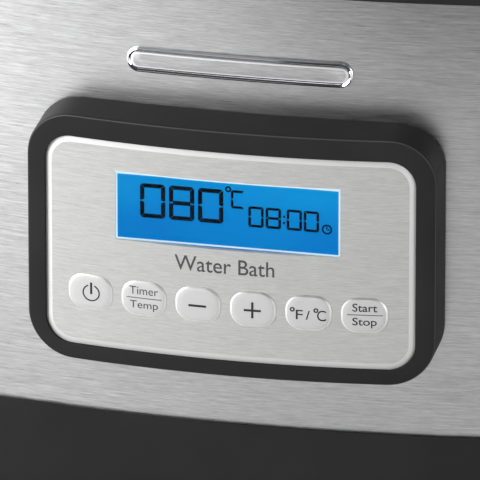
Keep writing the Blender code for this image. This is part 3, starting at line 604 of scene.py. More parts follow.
LID_GLASS = clear("lid_glass", (0.93, 0.97, 0.95, 1.0))


def ink(name, colour, lighter, grain=0.3, depth=0.003, ior=1.25):
    return moulded(name, colour, lighter, (0.5, 0.6), grain, depth, IOR=ior)


PRINT = ink("grey_print", linear(36, 36, 38), linear(42, 42, 44))
PRINT_FINE = ink("grey_print_fine", linear(62, 62, 64), linear(70, 70, 72))
SEGMENT = ink("display_segment", linear(4, 10, 22), linear(6, 14, 30), 0.4, 0.002, 1.1)
BLUE = backlit("display_blue", linear(6, 145, 209), linear(0, 119, 192), linear(4, 24, 60), 0.95)
# A pale glow for the rim round the display and a line above it: painted highlights of the window's
# edge.
DISPLAY_GLOW_PAINTED_HIGHLIGHT = backlit(
    "display_rim_painted_highlight", linear(214, 240, 252), linear(200, 232, 248), linear(90, 110, 120), 0.8
)
LOOKS = {
    "black_plastic": BLACK_PLASTIC,
    "dark_plastic": DARK_PLASTIC,
    "black_rubber": RUBBER,
    "screw_steel": SCREW_STEEL,
    "brushed_steel": STEEL,
    "tank_steel": TANK_STEEL,
    "silicone": SILICONE,
    "glass_wool": WOOL,
    "aluminium": CAST_ALUMINIUM,
    "wire_steel": WIRE_STEEL,
    "lid_glass": LID_GLASS,
    "silver_fascia": FASCIA,
    "clear_lens": LENS,
    "display_blue": BLUE,
    "key_silver": KEY_SATIN,
    "circuit_green": CIRCUIT,
    "cable_grey": CABLE,
    "chrome": CHROME,
}


# The control panel

PANEL_SCREW_X, PANEL_SCREW_Z = 68.5, 30


def make_panel_frame():
    """The black surround, with a painted highlight on the rounding at its front edge, and four
    screw bosses.
    """
    wall, flange, root = 2.5, FRAME_FLANGE_BACK, -1.6
    edge = 0.9
    rings = [lay(frame_outline(), steel_y, root), lay(frame_outline(), face_y, edge + 0.4)]
    for k in range(7):
        a = math.radians(90 * k / 6)
        inset, back = edge * (1 - math.cos(a)), edge * (1 - math.sin(a))
        rings.append(lay(frame_outline(-inset), face_y, back))
    for k in range(5):
        a = math.radians(90 * k / 4)
        inset, back = 0.2 * (1 - math.sin(a)), 0.2 * (1 - math.cos(a))
        rings.append(lay(window_outline(inset), face_y, back))
    rings.append(lay(window_outline(), face_y, flange))
    rings.append(lay(frame_outline(-wall), face_y, flange))
    rings.append(lay(frame_outline(-wall), steel_y, root))
    made = add("panel_bezel", loft(rings, closed=True), BLACK_PLASTIC, "panel_frame")
    # The front rounding takes the lighter plastic, a painted highlight.
    second_look(made, BLACK_EDGE_PAINTED_HIGHLIGHT, len(rings[0]), 4, 6)
    bosses, holes = [], []
    for sx in (-1, 1):
        for sz in (-1, 1):
            at = (sx * PANEL_SCREW_X, 0, PANEL_Z + sz * PANEL_SCREW_Z)
            bosses.append(cylinder(at, FORWARD, 4.0, 129.8, 134.8, 32))
            holes.append(cylinder(at, FORWARD, 1.9, 120.0, 133.6, 24))
    join(made, *bosses)
    cut(made, *holes)


CHAMFER_WIDTH = 2.4
CHAMFER_DROP = 0.45
THROUGH = (-150, -130)


def make_fascia():
    """The silver plate, with a wide shallow chamfer that ends at the frame's wall. The chamfer is
    painted lighter, as a painted highlight.
    """
    edge = FRAME_FLANGE_BACK + GAP
    rings = [
        lay(window_outline(-2.4), face_y, FASCIA_RECESS + FASCIA_THICK),
        lay(window_outline(-1.8), face_y, edge + FASCIA_THICK),
        lay(window_outline(2.4), face_y, edge + FASCIA_THICK),
        lay(window_outline(2.4), face_y, edge),
        lay(window_outline(-0.1), face_y, edge),
        lay(window_outline(-0.1), face_y, FASCIA_RECESS + CHAMFER_DROP),
        lay(window_outline(-CHAMFER_WIDTH), face_y, FASCIA_RECESS),
        lay(window_outline(-CHAMFER_WIDTH - 0.6), face_y, FASCIA_RECESS),
    ]
    shape = loft(rings, cap="strips")
    made = add("fascia_plate", shape, FASCIA, "panel_fascia", smooth=6)
    # The chamfer takes the lighter metal, a painted highlight.
    second_look(made, FASCIA_CHAMFER_PAINTED_HIGHLIGHT, len(rings[0]), 5, 6)
    holes = [prism(key_outline(name, 0.03), *THROUGH) for name in KEY_NAMES]
    carve(made, "DIFFERENCE", prism(lens_outline(0.12), *THROUGH), *holes, smooth=6)


KEY_CHAMFER_WIDTH = 0.65
KEY_CHAMFER_DROP = 0.25


def make_key(name):
    """A key cap whose chamfer is painted bright as a highlight, with a flange behind the fascia and
    a stem for its switch.
    """
    stem_end = box_mm(name)[1].y
    recess, behind = FASCIA_RECESS, FASCIA_RECESS + FASCIA_THICK + GAP
    ring_levels = [
        (0.7, behind + 1.0), (0.7, behind), (0.0, behind), (0.0, recess - 0.12),
        (-KEY_CHAMFER_WIDTH, recess - 0.12 - KEY_CHAMFER_DROP), (-1.6, recess - KEY_PROUD + 0.04),
        (-2.6, recess - KEY_PROUD),
    ]
    rings = [lay(key_outline(name, grow), face_y, back) for grow, back in ring_levels]
    shape = loft(rings, cap="strips")
    made = add(f"{name}_cap", shape, KEY_SATIN, name, f"{name}_body", 12)
    # The chamfer takes the lighter metal, a painted highlight.
    second_look(made, KEY_CHAMFER_PAINTED_HIGHLIGHT, len(rings[0]), 3, 4)
    x, z = key_centre(name)
    stem_start = face_y(x) + behind + 0.5
    stem = cylinder((x, 0, PANEL_Z + z), FORWARD, 1.4, -stem_end, -stem_start, 24)
    carve(made, "UNION", stem, smooth=12)


# Lettering and symbols are thin plates laid on the surface under them

PRINT_PROUD = 0.05
PRINT_SUNK = 0.02


def plates(outlines, surface, look, name, body="housing"):
    """Thin plates from closed outlines of (x, z) points seen from the front, laid on a surface."""
    shapes = []
    for outline in outlines:
        front = [(x, surface(x) - PRINT_PROUD, PANEL_Z + z) for x, z in outline]
        back = [(x, surface(x) + PRINT_SUNK, PANEL_Z + z) for x, z in outline]
        shapes.append(loft([back, front], cap="strips" if len(outline) % 4 == 0 else "ngon"))
    add(name, merged(*shapes), look, body=body)


def bar(x0, x1, z0, z1, steps=6):
    """An upright rectangle whose long sides have points enough to follow the bow."""
    xs = [x0 + (x1 - x0) * k / (steps - 1) for k in range(steps)]
    return [(x, z1) for x in xs] + [(x, z0) for x in reversed(xs)]


def arc_plate(
    cx, cz, radius, width, surface, look, name, body="housing", start=0.0, end=360.0, steps=48
):
    """A ring, or an open arc of one, as one thin plate."""
    closed = end - start >= 360
    angles = [math.radians(start + (end - start) * k / steps) for k in range(steps + (not closed))]
    section = ((-1, -PRINT_PROUD), (1, -PRINT_PROUD), (1, PRINT_SUNK), (-1, PRINT_SUNK))
    rings = []
    for a in angles:
        ring = []
        for edge, back in section:
            reach = radius + edge * width / 2
            x, z = cx + reach * math.cos(a), cz + reach * math.sin(a)
            ring.append((x, surface(x) + back, PANEL_Z + z))
        rings.append(ring)
    add(name, loft(rings, closed=closed), look, body=body)


def lettering(name, words, bounds, surface, look, body="housing", weight=0.0):
    """Words fitted into bounds (x0, x1, z0, z1) and laid on a surface."""
    curve = bpy.data.curves.new(name, "FONT")
    curve.body = words
    curve.extrude = 0.01
    curve.offset = weight
    curve.resolution_u = 6
    source = linked("source", curve)
    mesh = evaluated_mesh(source)
    mesh.name = name
    bpy.data.objects.remove(source)
    xs = [v.co.x for v in mesh.vertices]
    ys = [v.co.y for v in mesh.vertices]
    x0, x1, z0, z1 = bounds
    for v in mesh.vertices:
        x = x0 + (v.co.x - min(xs)) / (max(xs) - min(xs)) * (x1 - x0)
        z = z0 + (v.co.y - min(ys)) / (max(ys) - min(ys)) * (z1 - z0)
        lift = -PRINT_PROUD if v.co.z > 0 else PRINT_SUNK
        v.co = Vector((x, surface(x) + lift, PANEL_Z + z)) * MM + CENTRE
    finish(mesh, look, body=body, weld=1e-7)


def fascia_surface(x):
    return face_y(x) + FASCIA_RECESS


def key_surface(x):
    return face_y(x) + FASCIA_RECESS - KEY_PROUD


def on_key(key, dx0, dx1, dz0, dz1):
    """Bounds about the middle of a key, as bounds about the middle of the panel."""
    x, z = key_centre(f"{key}_key")
    return x + dx0, x + dx1, z + dz0, z + dz1


def key_words(key, part, words, bounds, look=PRINT, weight=0.0):
    place = on_key(key, *bounds)
    lettering(f"{key}_{part}", words, place, key_surface, look, f"{key}_key_body", weight)


def key_bars(key, part, *all_bounds, look=PRINT):
    outlines = [bar(*on_key(key, *bounds)) for bounds in all_bounds]
    plates(outlines, key_surface, look, f"{key}_{part}", f"{key}_key_body")


def key_ring(key, part, dx, dz, radius, width, *span):
    x, z = key_centre(f"{key}_key")
    names = f"{key}_{part}", f"{key}_key_body"
    arc_plate(x + dx, z + dz, radius, width, key_surface, PRINT, *names, *span)


def make_print():
    """The words under the display and the label on each key, by bounds about their key."""
    bounds = (-19.4, 16.9, -7.7, -1.9)
    lettering("panel_words", "Water Bath", bounds, fascia_surface, PRINT_FINE, weight=0.004)
    key_ring("power", "ring", 0.3, -0.1, 3.0, 0.5, 112, 428)
    key_bars("power", "bar", (-0.1, 0.7, -0.6, 3.9))
    key_words("mode", "upper", "Timer", (-5.2, 5.4, 1.7, 4.75), PRINT_FINE)
    key_words("mode", "lower", "Temp", (-5.1, 5.3, -4.5, -0.75), PRINT_FINE)
    key_bars("mode", "rule", (-6.3, 6.6, 0.2, 0.48), look=PRINT_FINE)
    key_bars("minus", "sign", (-3.4, 3.1, -0.75, 0.1))
    upright = ((-0.52, 0.32, -3.3, -0.72), (-0.52, 0.32, 0.12, 2.9))
    key_bars("plus", "sign", (-3.2, 3.0, -0.72, 0.12), *upright)
    key_ring("unit", "ring_left", -5.7, 1.3, 0.66, 0.48)
    key_words("unit", "left", "F", (-4.4, -1.9, -2.45, 1.2))
    x, z = key_centre("unit_key")
    corners = ((-0.85, -2.45), (-0.4, -2.45), (0.6, 1.05), (0.15, 1.05))
    slash = [(x + dx, z + dz) for dx, dz in corners]
    plates([slash], key_surface, PRINT, "unit_slash", "unit_key_body")
    key_ring("unit", "ring_right", 2.78, 1.3, 0.66, 0.48)
    key_words("unit", "right", "C", (3.2, 6.4, -2.7, 1.4))
    key_words("start", "upper", "Start", (-4.15, 4.65, 1.6, 4.7), weight=0.006)
    key_words("start", "lower", "Stop", (-4.15, 4.5, -4.6, -0.75), weight=0.006)
    key_bars("start", "rule", (-6.0, 6.6, 0.2, 0.48), look=PRINT_FINE)


# Display

SEGMENTS = {"0": "abcdef", "8": "abcdefg", "C": "adef"}


def seven_segments(figure, x, z, width, height, thick, gap=0.06, waist=0.28):
    """Outlines of a seven-segment figure with cut corners, whose lower left corner is (x, z)."""
    w, h, t, g, m = width, height, thick, gap, height / 2
    c = t * 0.55
    shapes = {
        "a": [(c, h), (w - c, h), (w - c / 2 - g, h - c / 2), (w - t - g, h - t), (t + g, h - t),
              (c / 2 + g, h - c / 2)],
        "d": [(c / 2 + g, c / 2), (t + g, t), (w - t - g, t), (w - c / 2 - g, c / 2), (w - c, 0),
              (c, 0)],
        "f": [(0, m + waist), (t * 0.5, m + waist * 0.6), (t, m + waist + t * 0.25), (t, h - t - g),
              (c / 2, h - c / 2 - g), (0, h - c)],
        "e": [(0, c), (c / 2, c / 2 + g), (t, t + g), (t, m - waist - t * 0.25),
              (t * 0.5, m - waist * 0.6), (0, m - waist)],
        "g": [(t * 0.7 + g, m), (t + g, m + t / 2), (w - t - g, m + t / 2), (w - t * 0.7 - g, m),
              (w - t - g, m - t / 2), (t + g, m - t / 2)],
    }
    shapes["b"] = [(w - px, pz) for px, pz in reversed(shapes["f"])]
    shapes["c"] = [(w - px, pz) for px, pz in reversed(shapes["e"])]
    return [[(x + px, z + pz) for px, pz in shapes[s]] for s in SEGMENTS[figure]]


def make_display():
    """A clear cover over a backlit blue cell, with the figures between them, and a pale glowing rim
    and line as painted highlights of the window's edge.
    """
    front, back = LENS_LOW.y, LENS_HIGH.y
    cell = front + 0.35

    def rings(*levels):
        return [lay(lens_outline(grow), flat(y), 0) for grow, y in levels]

    cover = rings((0, cell - 0.05), (0, front + 0.12), (-0.12, front))
    add("display_cover", loft(cover), LENS, "lcd_lens")
    # A pale glowing rim round the cell: a painted highlight of the window's edge.
    rim = 0.6
    edge = rings((0, cell + 1.2), (0, cell), (-rim, cell), (-rim, cell + 1.2))
    add("display_rim_painted_highlight", loft(edge, closed=True), DISPLAY_GLOW_PAINTED_HIGHLIGHT)
    blue_y = cell + 0.1
    layer = rings((-rim - 0.02, back), (-rim - 0.02, blue_y))
    add("display_cell", loft(layer), BLUE)
    surface = flat(blue_y)
    figures = []
    for k, figure in enumerate("080"):
        figures += seven_segments(figure, -32.38 + 10.54 * k, 10.45, 9.25, 13.2, 1.62)
    figures += seven_segments("C", 0.66, 16.8, 5.0, 7.0, 0.95)
    for figure, x in zip("0800", (6.98, 13.27, 20.87, 27.07)):
        figures += seven_segments(figure, x, 10.2, 5.6, 8.0, 1.0, 0.05, 0.2)
    for z in (12.4, 14.8):
        figures.append(bar(19.55, 20.35, z, z + 0.8))
    plates(figures, surface, SEGMENT, "display_figures")
    arc_plate(-0.3, 24.0, 0.85, 0.62, surface, SEGMENT, "display_degree")
    arc_plate(35.5, 11.68, 1.6, 0.62, surface, SEGMENT, "clock_ring")
    hands = [bar(35.22, 35.72, 11.7, 12.8), bar(35.72, 36.5, 11.4, 11.85)]
    plates(hands, surface, SEGMENT, "clock_hands")
    # A glowing line on the fascia just above the display: a painted highlight of the hole's top
    # edge.
    top = LENS_HIGH.z - PANEL_Z
    line = bar(LENS_LOW.x - 0.15, LENS_HIGH.x + 0.15, top + 0.14, top + 0.55, 24)
    plates([line], fascia_surface, DISPLAY_GLOW_PAINTED_HIGHLIGHT, "display_line_painted_highlight")


def make_badge():
    """A blank plate: a raised polished border round a brushed field."""
    low, high = box_mm("badge")
    bounds = (low.x, high.x, low.z - PANEL_Z, high.z - PANEL_Z)
    levels = [(0, -0.3), (0, -1.0), (-0.25, -1.5), (-0.7, -1.72), (-1.1, -1.5), (-1.5, -1.15)]
    levels += [(-2.4, -1.3)]
    rings = []
    for grow, back in levels:
        outline = front_outline(*bounds, 4.6, grow, across=40, steps=12)
        rings.append(lay(outline, steel_y, back))
    made = add("badge_plate", loft(rings, cap="strips"), CHROME, "badge")
    field = len(rings) - 1
    second_look(made, STEEL, len(rings[0]), field, field)


# Housing


def make_housing():
    section = rounded(
        [(0, SHELL_BOTTOM), (0, SHELL_TOP), (1, SHELL_TOP), (1, SHELL_BOTTOM)], 0.2, 2
    )
    made = add("steel_wrap", band(section), STEEL, "housing_shell")
    window = front_outline(-60, 60, -25, 25, 8, across=2, steps=8)
    cut(made, prism(window, -135, -110))


def make_base():
    low, high = box_mm("base_shell")
    under, top = low.z, high.z
    section = [
        (3.5, under + 2.7), (3.5, top - 1), (1.3, top - 1), (1.3, top - 3), (-0.3, top - 3),
        (-0.3, top), (-1.0, top), (-1.0, 12.5), (-0.4, 9.8), (1.2, 7.6), (3.4, under),
    ]
    rings = [plan_ring(*p) for p in section]
    made = add("base_tub", loft(rings), BLACK_PLASTIC, "base_shell")
    holes = []
    for sx in (-1, 1):
        for k in range(4):
            y = (k - 1.5) * 14.0
            x0 = min(sx * 50, sx * 90)
            slot = [(x0 + u + 20, y + v) for u, v in round_loop(20, 1.75, 1.7, 6)]
            holes.append(slab(slot, 0, 20))
        for sy in (-1, 1):
            holes.append(cylinder((sx * 120, sy * 85, 0), UP, 5.0, 0, 20))
            holes.append(cylinder(rod_point(sx, sy), UP, 2.5, 0, 20))
    holes.append(box((-13.9, 110, 16.1), (13.9, 140, 35.9)))
    cut(made, *holes)
    post = [(3.5, 8), (3.5, 17), (1.6, 17), (1.6, 21), (1.2, 21.4)]
    posts = [turned(post, 24, (x, y, 0)) for x in (-134, -36) for y in (-39, 39)]
    join(made, *posts)
    soften(made, 0.35, 2)


ROD_INSET = 11.0


def rod_point(side_x, side_y, z=0.0):
    """A point on the axis of a tie rod, in the corner that the two signs name."""
    reach = (CORNER_R - ROD_INSET) * math.sqrt(0.5)
    return side_x * (CORNER_CENTRE.x + reach), side_y * (-CORNER_CENTRE.y + reach), z


def make_rim():
    top = box_mm("top_rim")[1].z
    bottom = 211.0
    section = [
        (-1.5, bottom), (-1.5, top - 3.5), (1.5, top), (11.5, top), (11.5, 227), (20, 227),
        (20, 223), (3.8, 223), (3.8, bottom), (1.3, bottom), (1.3, SHELL_TOP + GAP),
        (-0.3, SHELL_TOP + GAP), (-0.3, bottom),
    ]
    shape = band(rounded(section, 0.9, 3))
    made = add("rim_moulding", shape, BLACK_PLASTIC, "top_rim")
    bosses, holes = [], []
    for sx in (-1, 1):
        for sy in (-1, 1):
            at = rod_point(sx, sy)
            bosses.append(cylinder(at, UP, 5.0, 205.0, 224.5, 32))
            holes.append(cylinder(at, UP, 2.5, 200.0, 221.0, 24))
    join(made, *bosses)
    cut(made, *holes)


# Feet, screws and handles

CORNERS = {
    "front_left": (-1, -1), "front_right": (1, -1), "rear_left": (-1, 1), "rear_right": (1, 1)
}
SIDES = (("left", -1), ("right", 1))


def middle(node):
    low, high = box_mm(node)
    return (low + high) / 2


def make_feet():
    profile = [(3.0, 0.9), (5.5, 0.9), (6.4, 0.0), (9.6, 0.0), (11.0, 1.6), (11.0, 6.0), (4.5, 6.0)]
    profile += [(4.5, 9.3), (6.0, 9.3), (4.0, 13.0)]
    profile = rounded(profile, 0.8, 4, closed=False)
    for corner in CORNERS:
        at = middle(f"foot_{corner}")
        shape = turned(profile, 56, (at.x, at.y, 0))
        add(f"rubber_foot_{corner}", shape, RUBBER, f"foot_{corner}")


def cross_recess(arm, half_width, depth):
    """A cutter for a cross recess, drawn about the origin with the screw's head facing down."""
    quarter = [(arm, half_width), (half_width, half_width), (half_width, arm)]
    outline = []
    for _ in range(4):
        outline += quarter
        quarter = [(-y, x) for x, y in quarter]
    return slab(outline, -1, depth)


def make_screw(name, node, body, at, head_r, head_h, length, shank_r=2.0):
    """An upright pan-head screw with a cross recess in its head, which faces down at the point."""
    head = [(head_r * 0.3, 0), (head_r * 0.8, 0.1 * head_h), (head_r, 0.5 * head_h)]
    profile = rounded(head + [(head_r, head_h)], 0.5, 3, closed=False)
    end = head_h + length
    profile += [(shank_r, head_h), (shank_r, end - 0.6), (shank_r - 0.6, end)]
    made = add(name, turned(profile, 32, at), SCREW_STEEL, node, body)
    cut(made, placed(cross_recess(head_r * 0.6, head_r * 0.16, head_h * 0.5), at, spin=0.6))


def make_screws():
    for corner, signs in CORNERS.items():
        at = rod_point(*signs, 3.4)
        make_screw(f"rod_{corner}", f"tie_rod_{corner}", "housing", at, 4.0, 2.6, 213.0)
    for side, sx in SIDES:
        at = (sx * POST_X, 0, 236.6)
        make_screw(f"lid_fixing_{side}", f"lid_screw_{side}", "lid", at, 6.0, 2.8, 15.0)


HANDLE_SCREW_Y = 48.0


def make_handles():
    """Side grips: a bow in plan that leaves a finger gap, screwed against the steel."""
    for side, sx in SIDES:
        outer = [(158, -56), (178, -56), (190, -51), (197, -40), (198, -28)]
        inner = [(158, 40), (175, 40), (183, 35), (186, 26)]
        outline = outer + [(x, -y) for x, y in reversed(outer)] + inner
        outline += [(x, -y) for x, y in reversed(inner)]
        outline = [(sx * x, y) for x, y in rounded(outline, 9.0, 6)]
        low, high = box_mm(f"handle_{side}")
        shape = slab(outline, low.z, high.z)
        grip = add(f"grip_{side}", shape, BLACK_PLASTIC, f"handle_{side}")
        soften(grip, 3.0, 5, 40)
        cut(grip, slab(plan(-0.06), low.z - 10, high.z + 10))
        holes = []
        for sy in (-1, 1):
            at = (0, sy * HANDLE_SCREW_Y, (low.z + high.z) / 2)
            holes.append(cylinder(at, (sx, 0, 0), 2.5, 150, 176, 24))
        cut(grip, *holes)


# Tank, stirrer and rack

TANK_FLOOR = box_mm("tank")[0].z + 1.0
TANK_LIP = box_mm("tank")[1].z


def make_tank():
    """A deep-drawn tank with a rolled lip and two level lines pressed into its walls."""
    outside = [(38.5, TANK_FLOOR - 1), (31.0, 66.0), (27.0, 75.0), (24.5, 229.1), (12.2, 229.1)]
    inside = [(12.2, TANK_LIP), (24.3, TANK_LIP), (25.5, 228.0)]
    for level in (208.0, 128.0):
        inset = 25.5 + 2.5 * (228.0 - level) / 152.5
        inside += [(inset, level + 0.9), (inset + 0.55, level), (inset + 0.02, level - 0.9)]
    inside += [(28.0, 75.5), (31.8, 67.0), (39.0, TANK_FLOOR)]
    profile = rounded(outside + inside, 1.8, 4, closed=False)
    shape = loft([plan_ring(*p) for p in profile])
    tank = add("tank_body", shape, TANK_STEEL, "tank")
    probe = middle("temperature_probe")
    shaft_hole = cylinder((0, 0, 0), UP, 7.3, 50, 75, 40)
    cut(tank, shaft_hole, cylinder((probe.x, probe.y, 0), UP, 4.4, 50, 75, 32))
    section = rounded([(13.0, 227.3), (13.0, 228.8), (19.5, 228.8), (19.5, 227.3)], 0.4, 3)
    add("tank_seat_seal", band(section), SILICONE, "tank_gasket")


def make_probe():
    low, high = box_mm("temperature_probe")
    nut = TANK_FLOOR + GAP
    lower = [(3.6, low.z), (4.0, low.z + 1), (4.0, nut), (7.0, nut), (7.0, nut + 2.2)]
    lower.append((2.5, nut + 3.2))
    tip = [(2.5, high.z - 2.4), (2.2, high.z - 1.1), (1.3, high.z - 0.2), (0.4, high.z)]
    profile = rounded(lower, 0.4, 3, closed=False) + tip
    shape = turned(profile, 36, ((low.x + high.x) / 2, (low.y + high.y) / 2, 0))
    add("probe_sheath", shape, WIRE_STEEL, "temperature_probe")


def make_seal():
    low, high = box_mm("shaft_seal")
    section = [(2.4, low.z), (7.0, low.z), (7.0, TANK_FLOOR + GAP), (10.0, TANK_FLOOR + GAP)]
    section += [(10.0, 65.0), (6.6, 65.4), (5.0, high.z), (2.4, high.z)]
    seal = turned(rounded(section, 0.5, 3), 48, bored=True)
    add("seal_ring", seal, RUBBER, "shaft_seal")


BLADES = 4
BLADE_MIDDLE_Z = 74.5


def make_stirrer():
    low, high = box_mm("impeller")
    hub = [(2.5, low.z), (6.0, low.z), (6.0, high.z - 2), (3.5, high.z), (0.6, high.z)]
    shape = turned(rounded(hub, 0.8, 4, closed=False), 40)
    made = add("stirrer_wheel", shape, DARK_PLASTIC, "impeller", "stirrer")
    pitch = math.radians(28)
    blades = []
    for k in range(BLADES):
        section = round_loop(5.0, 1.0, 0.95, 5)
        rings = []
        for r, shrink in ((4.0, 1.0), (14.0, 1.0), (22.5, 0.98), (24.2, 0.86), (24.9, 0.6)):
            twist = pitch * (1.25 - 0.3 * r / 25.0)
            ring = []
            for v, u in section:
                v, u = v * shrink, u * shrink
                y = u * math.cos(twist) - v * math.sin(twist)
                ring.append((r, y, u * math.sin(twist) + v * math.cos(twist)))
            rings.append(ring)
        spin = 2 * math.pi * k / BLADES
        blades.append(placed(loft(rings), (0, 0, BLADE_MIDDLE_Z), spin=spin))
    join(made, *blades)
    cut(made, cylinder((0, 0, 0), UP, 2.1, 60, 79.4, 32))
    bottom, top = box_mm("stirrer_shaft")
    shaft = [(1.6, bottom.z), (2.0, bottom.z + 0.4), (2.0, top.z - 0.4), (1.6, top.z)]
    add("drive_shaft", turned(shaft, 32), WIRE_STEEL, "stirrer_shaft", "stirrer")


GUARD_SLOTS = 6


def make_guard():
    """A pressed cap with slots in its top and its side."""
    low, high = box_mm("impeller_guard")
    r = (high.x - low.x) / 2
    wall = 1.2
    outer = [(r, low.z), (r, high.z - 3), (r - 3, high.z), (1.0, high.z)]
    inner = [(1.0, high.z - wall), (r - 3.6, high.z - wall), (r - wall, high.z - 3.6)]
    profile = rounded(outer + inner + [(r - wall, low.z)], 1.6, 5)
    shape = turned(profile, 96, bored=True)
    made = add("guard_cap", shape, TANK_STEEL, "impeller_guard")
    top_slot = [(x + 19, y) for x, y in round_loop(7.0, 2.0, 1.95, 6)]
    side_slot = round_loop(6.0, 5.0, 1.8, 5)
    holes = []
    for k in range(GUARD_SLOTS):
        spin = 2 * math.pi * k / GUARD_SLOTS
        holes.append(placed(slab(top_slot, high.z - 6, high.z + 4), (0, 0, 0), spin=spin))
        rings = [[(x, v, low.z + 10 + u) for u, v in side_slot] for x in (28, 40)]
        holes.append(placed(loft(rings), (0, 0, 0), spin=spin))
    cut(made, *holes)


def make_rack():
    """A welded wire rack: a rail loop on four legs, crossed by arches that part the pouches."""
    low, high = box_mm("rack")
    half_x, half_y = (high.x - low.x) / 2 - 2.0, (high.y - low.y) / 2 - 2.0
    rail_z = 93.0
    rail = [(x, y, rail_z) for x, y in round_loop(half_x, half_y, 12.0, 8)]
    made = add("wire_rack", sweep(rail, 2.0, 16, True), WIRE_STEEL, "rack", "rack_body")
    legs = []
    for sx, sy in CORNERS.values():
        foot = [(1.4, low.z), (2.0, low.z + 0.6), (2.0, rail_z)]
        legs.append(turned(foot, 16, (sx * (half_x - 30), sy * half_y, 0)))
    join(made, *legs)
    base_z = rail_z + 1.0
    bend = round_loop(half_y, high.z - 1.5 - base_z, 14.0, 8)
    arch = [(half_y, 0)] + [(y, z) for y, z in bend if z > 0] + [(-half_y, 0)]
    arches = []
    for k in range(6):
        path = [((k - 2.5) * 40.0, y, base_z + z) for y, z in arch]
        arches.append(sweep(path, 1.5, 14, True))
    join(made, *arches)


# Lid

POST_X = 42.0


def make_lid():
    section = [
        (3.0, 232.6), (3.0, 235.5), (6.0, 239.5), (12.0, 241.7), (39.7, 243.2), (39.7, 239.4),
        (46.0, 239.4), (46.0, 236.9), (30.3, 236.9), (30.3, 220.0), (28.2, 220.0), (28.2, 236.0),
        (13.0, 236.0), (8.0, 235.2), (6.0, 232.6),
    ]
    add("lid_ring", band(rounded(section, 1.6, 4)), BLACK_PLASTIC, "lid_frame", "lid")
    gasket = [(14.0, TANK_LIP + GAP), (14.0, 235.7), (19.0, 235.7), (19.0, TANK_LIP + GAP)]
    add("lid_seal", band(rounded(gasket, 1.2, 4)), SILICONE, "lid_gasket", "lid")
    low, high = box_mm("lid_glass")
    levels = [(40.4, low.z), (40.0, low.z + 0.4), (40.0, high.z - 0.8), (40.3, high.z - 0.3)]
    levels.append((41.0, high.z))
    shape = loft([plan_ring(*p) for p in levels])
    glass = add("lid_pane", shape, LID_GLASS, "lid_glass", "lid")
    vent = middle("steam_vent")
    holes = [cylinder((sx * POST_X, 0, 0), UP, 2.6, 230, 250, 24) for sx in (-1, 1)]
    cut(glass, cylinder((vent.x, vent.y, 0), UP, 4.0, 230, 250, 36), *holes)
    bottom, top = box_mm("steam_vent")
    section = [(2.0, bottom.z), (5.0, bottom.z), (5.0, low.z - GAP), (3.5, low.z - GAP)]
    section += [(3.5, high.z + GAP), (5.5, high.z + GAP), (5.0, top.z), (2.0, top.z)]
    vent_ring = turned(rounded(section, 0.5, 4), 48, (vent.x, vent.y, 0), bored=True)
    add("vent_eyelet", vent_ring, WIRE_STEEL, "steam_vent", "lid")


def make_lid_handle():
    low, high = box_mm("lid_handle")
    half_x, half_y = (high.x - low.x) / 2, (high.y - low.y) / 2
    grip = slab(round_loop(half_x, half_y, half_y - 0.3, 12), high.z - 12, high.z)
    handle = add("lid_grip", grip, BLACK_PLASTIC, "lid_handle", "lid")
    soften(handle, 3.4, 6, 40)
    posts, holes = [], []
    for sx in (-1, 1):
        at = (sx * POST_X, 0, 0)
        profile = [(9, low.z), (8.2, 247), (8, 250), (8.1, 256), (8.5, high.z - 8)]
        posts.append(turned(profile, 48, at))
        holes.append(cylinder(at, UP, 2.5, 235, 257, 24))
    join(handle, *posts)
    cut(handle, *holes)


# Mains inlet

INLET_SCREW_X = 20


def make_inlet():
    """A three-pin appliance inlet with two countersunk screws and brass blades."""
    low, high = box_mm("mains_inlet")
    z = (low.z + high.z) / 2
    flange_y = HALF_DEPTH + 1.3

    def along_y(outline, *levels, x=0.0, up=0.0):
        """A loft through an (x, z) outline at each (y, scale) level."""
        return loft([[(x + u * k, y, z + up + v * k) for u, v in outline] for y, k in levels])

    outline = round_loop(25.0, 11.5, 5.0, 8)
    rim = (high.y - 0.6, 1.0), (high.y - 0.1, 0.985), (high.y, 0.965)
    shape = along_y(outline, (flange_y, 1.0), *rim)
    made = add("inlet_body", shape, DARK_PLASTIC, "mains_inlet")
    join(made, along_y(round_loop(13.5, 9.5, 1.0, 3), (104, 1.0), (flange_y + 1, 1.0)))
    mouth = [(-12, -8), (12, -8), (12, 3.5), (7.5, 8), (-7.5, 8), (-12, 3.5)]
    cut(made, along_y(rounded(mouth, 0.8, 3), (111, 1.0), (140, 1.0)))
    ear = [(1.8, -20), (1.8, -2.0), (3.6, 0.0), (3.6, 3)]
    cut(made, *[turned(ear, 28, (sx * INLET_SCREW_X, high.y, z), BACK) for _, sx in SIDES])
    head = [(1.6, -6.0), (1.6, -2.2), (3.35, -0.45), (3.2, -0.25), (0.4, -0.2)]
    for side, sx in SIDES:
        x = sx * INLET_SCREW_X
        shape = turned(head, 32, (x, high.y, z), BACK)
        screw = add(f"inlet_screw_{side}", shape, SCREW_STEEL)
        cut(screw, placed(cross_recess(2.0, 0.45, 1.4), (x, high.y + 0.2, z), FORWARD, 0.5))
    section = round_loop(1.0, 2.0, 0.25, 3)
    for name, x, up in (("left", -7.0, 2.0), ("middle", 0.0, -2.0), ("right", 7.0, 2.0)):
        levels = (98.0, 1.0), (125.5, 1.0), (126.6, 0.9), (127.0, 0.7)
        add(f"inlet_blade_{name}", along_y(section, *levels, x=x, up=up), BRASS)


# Floor, lights and camera


FLOOR_REACH = 3.0


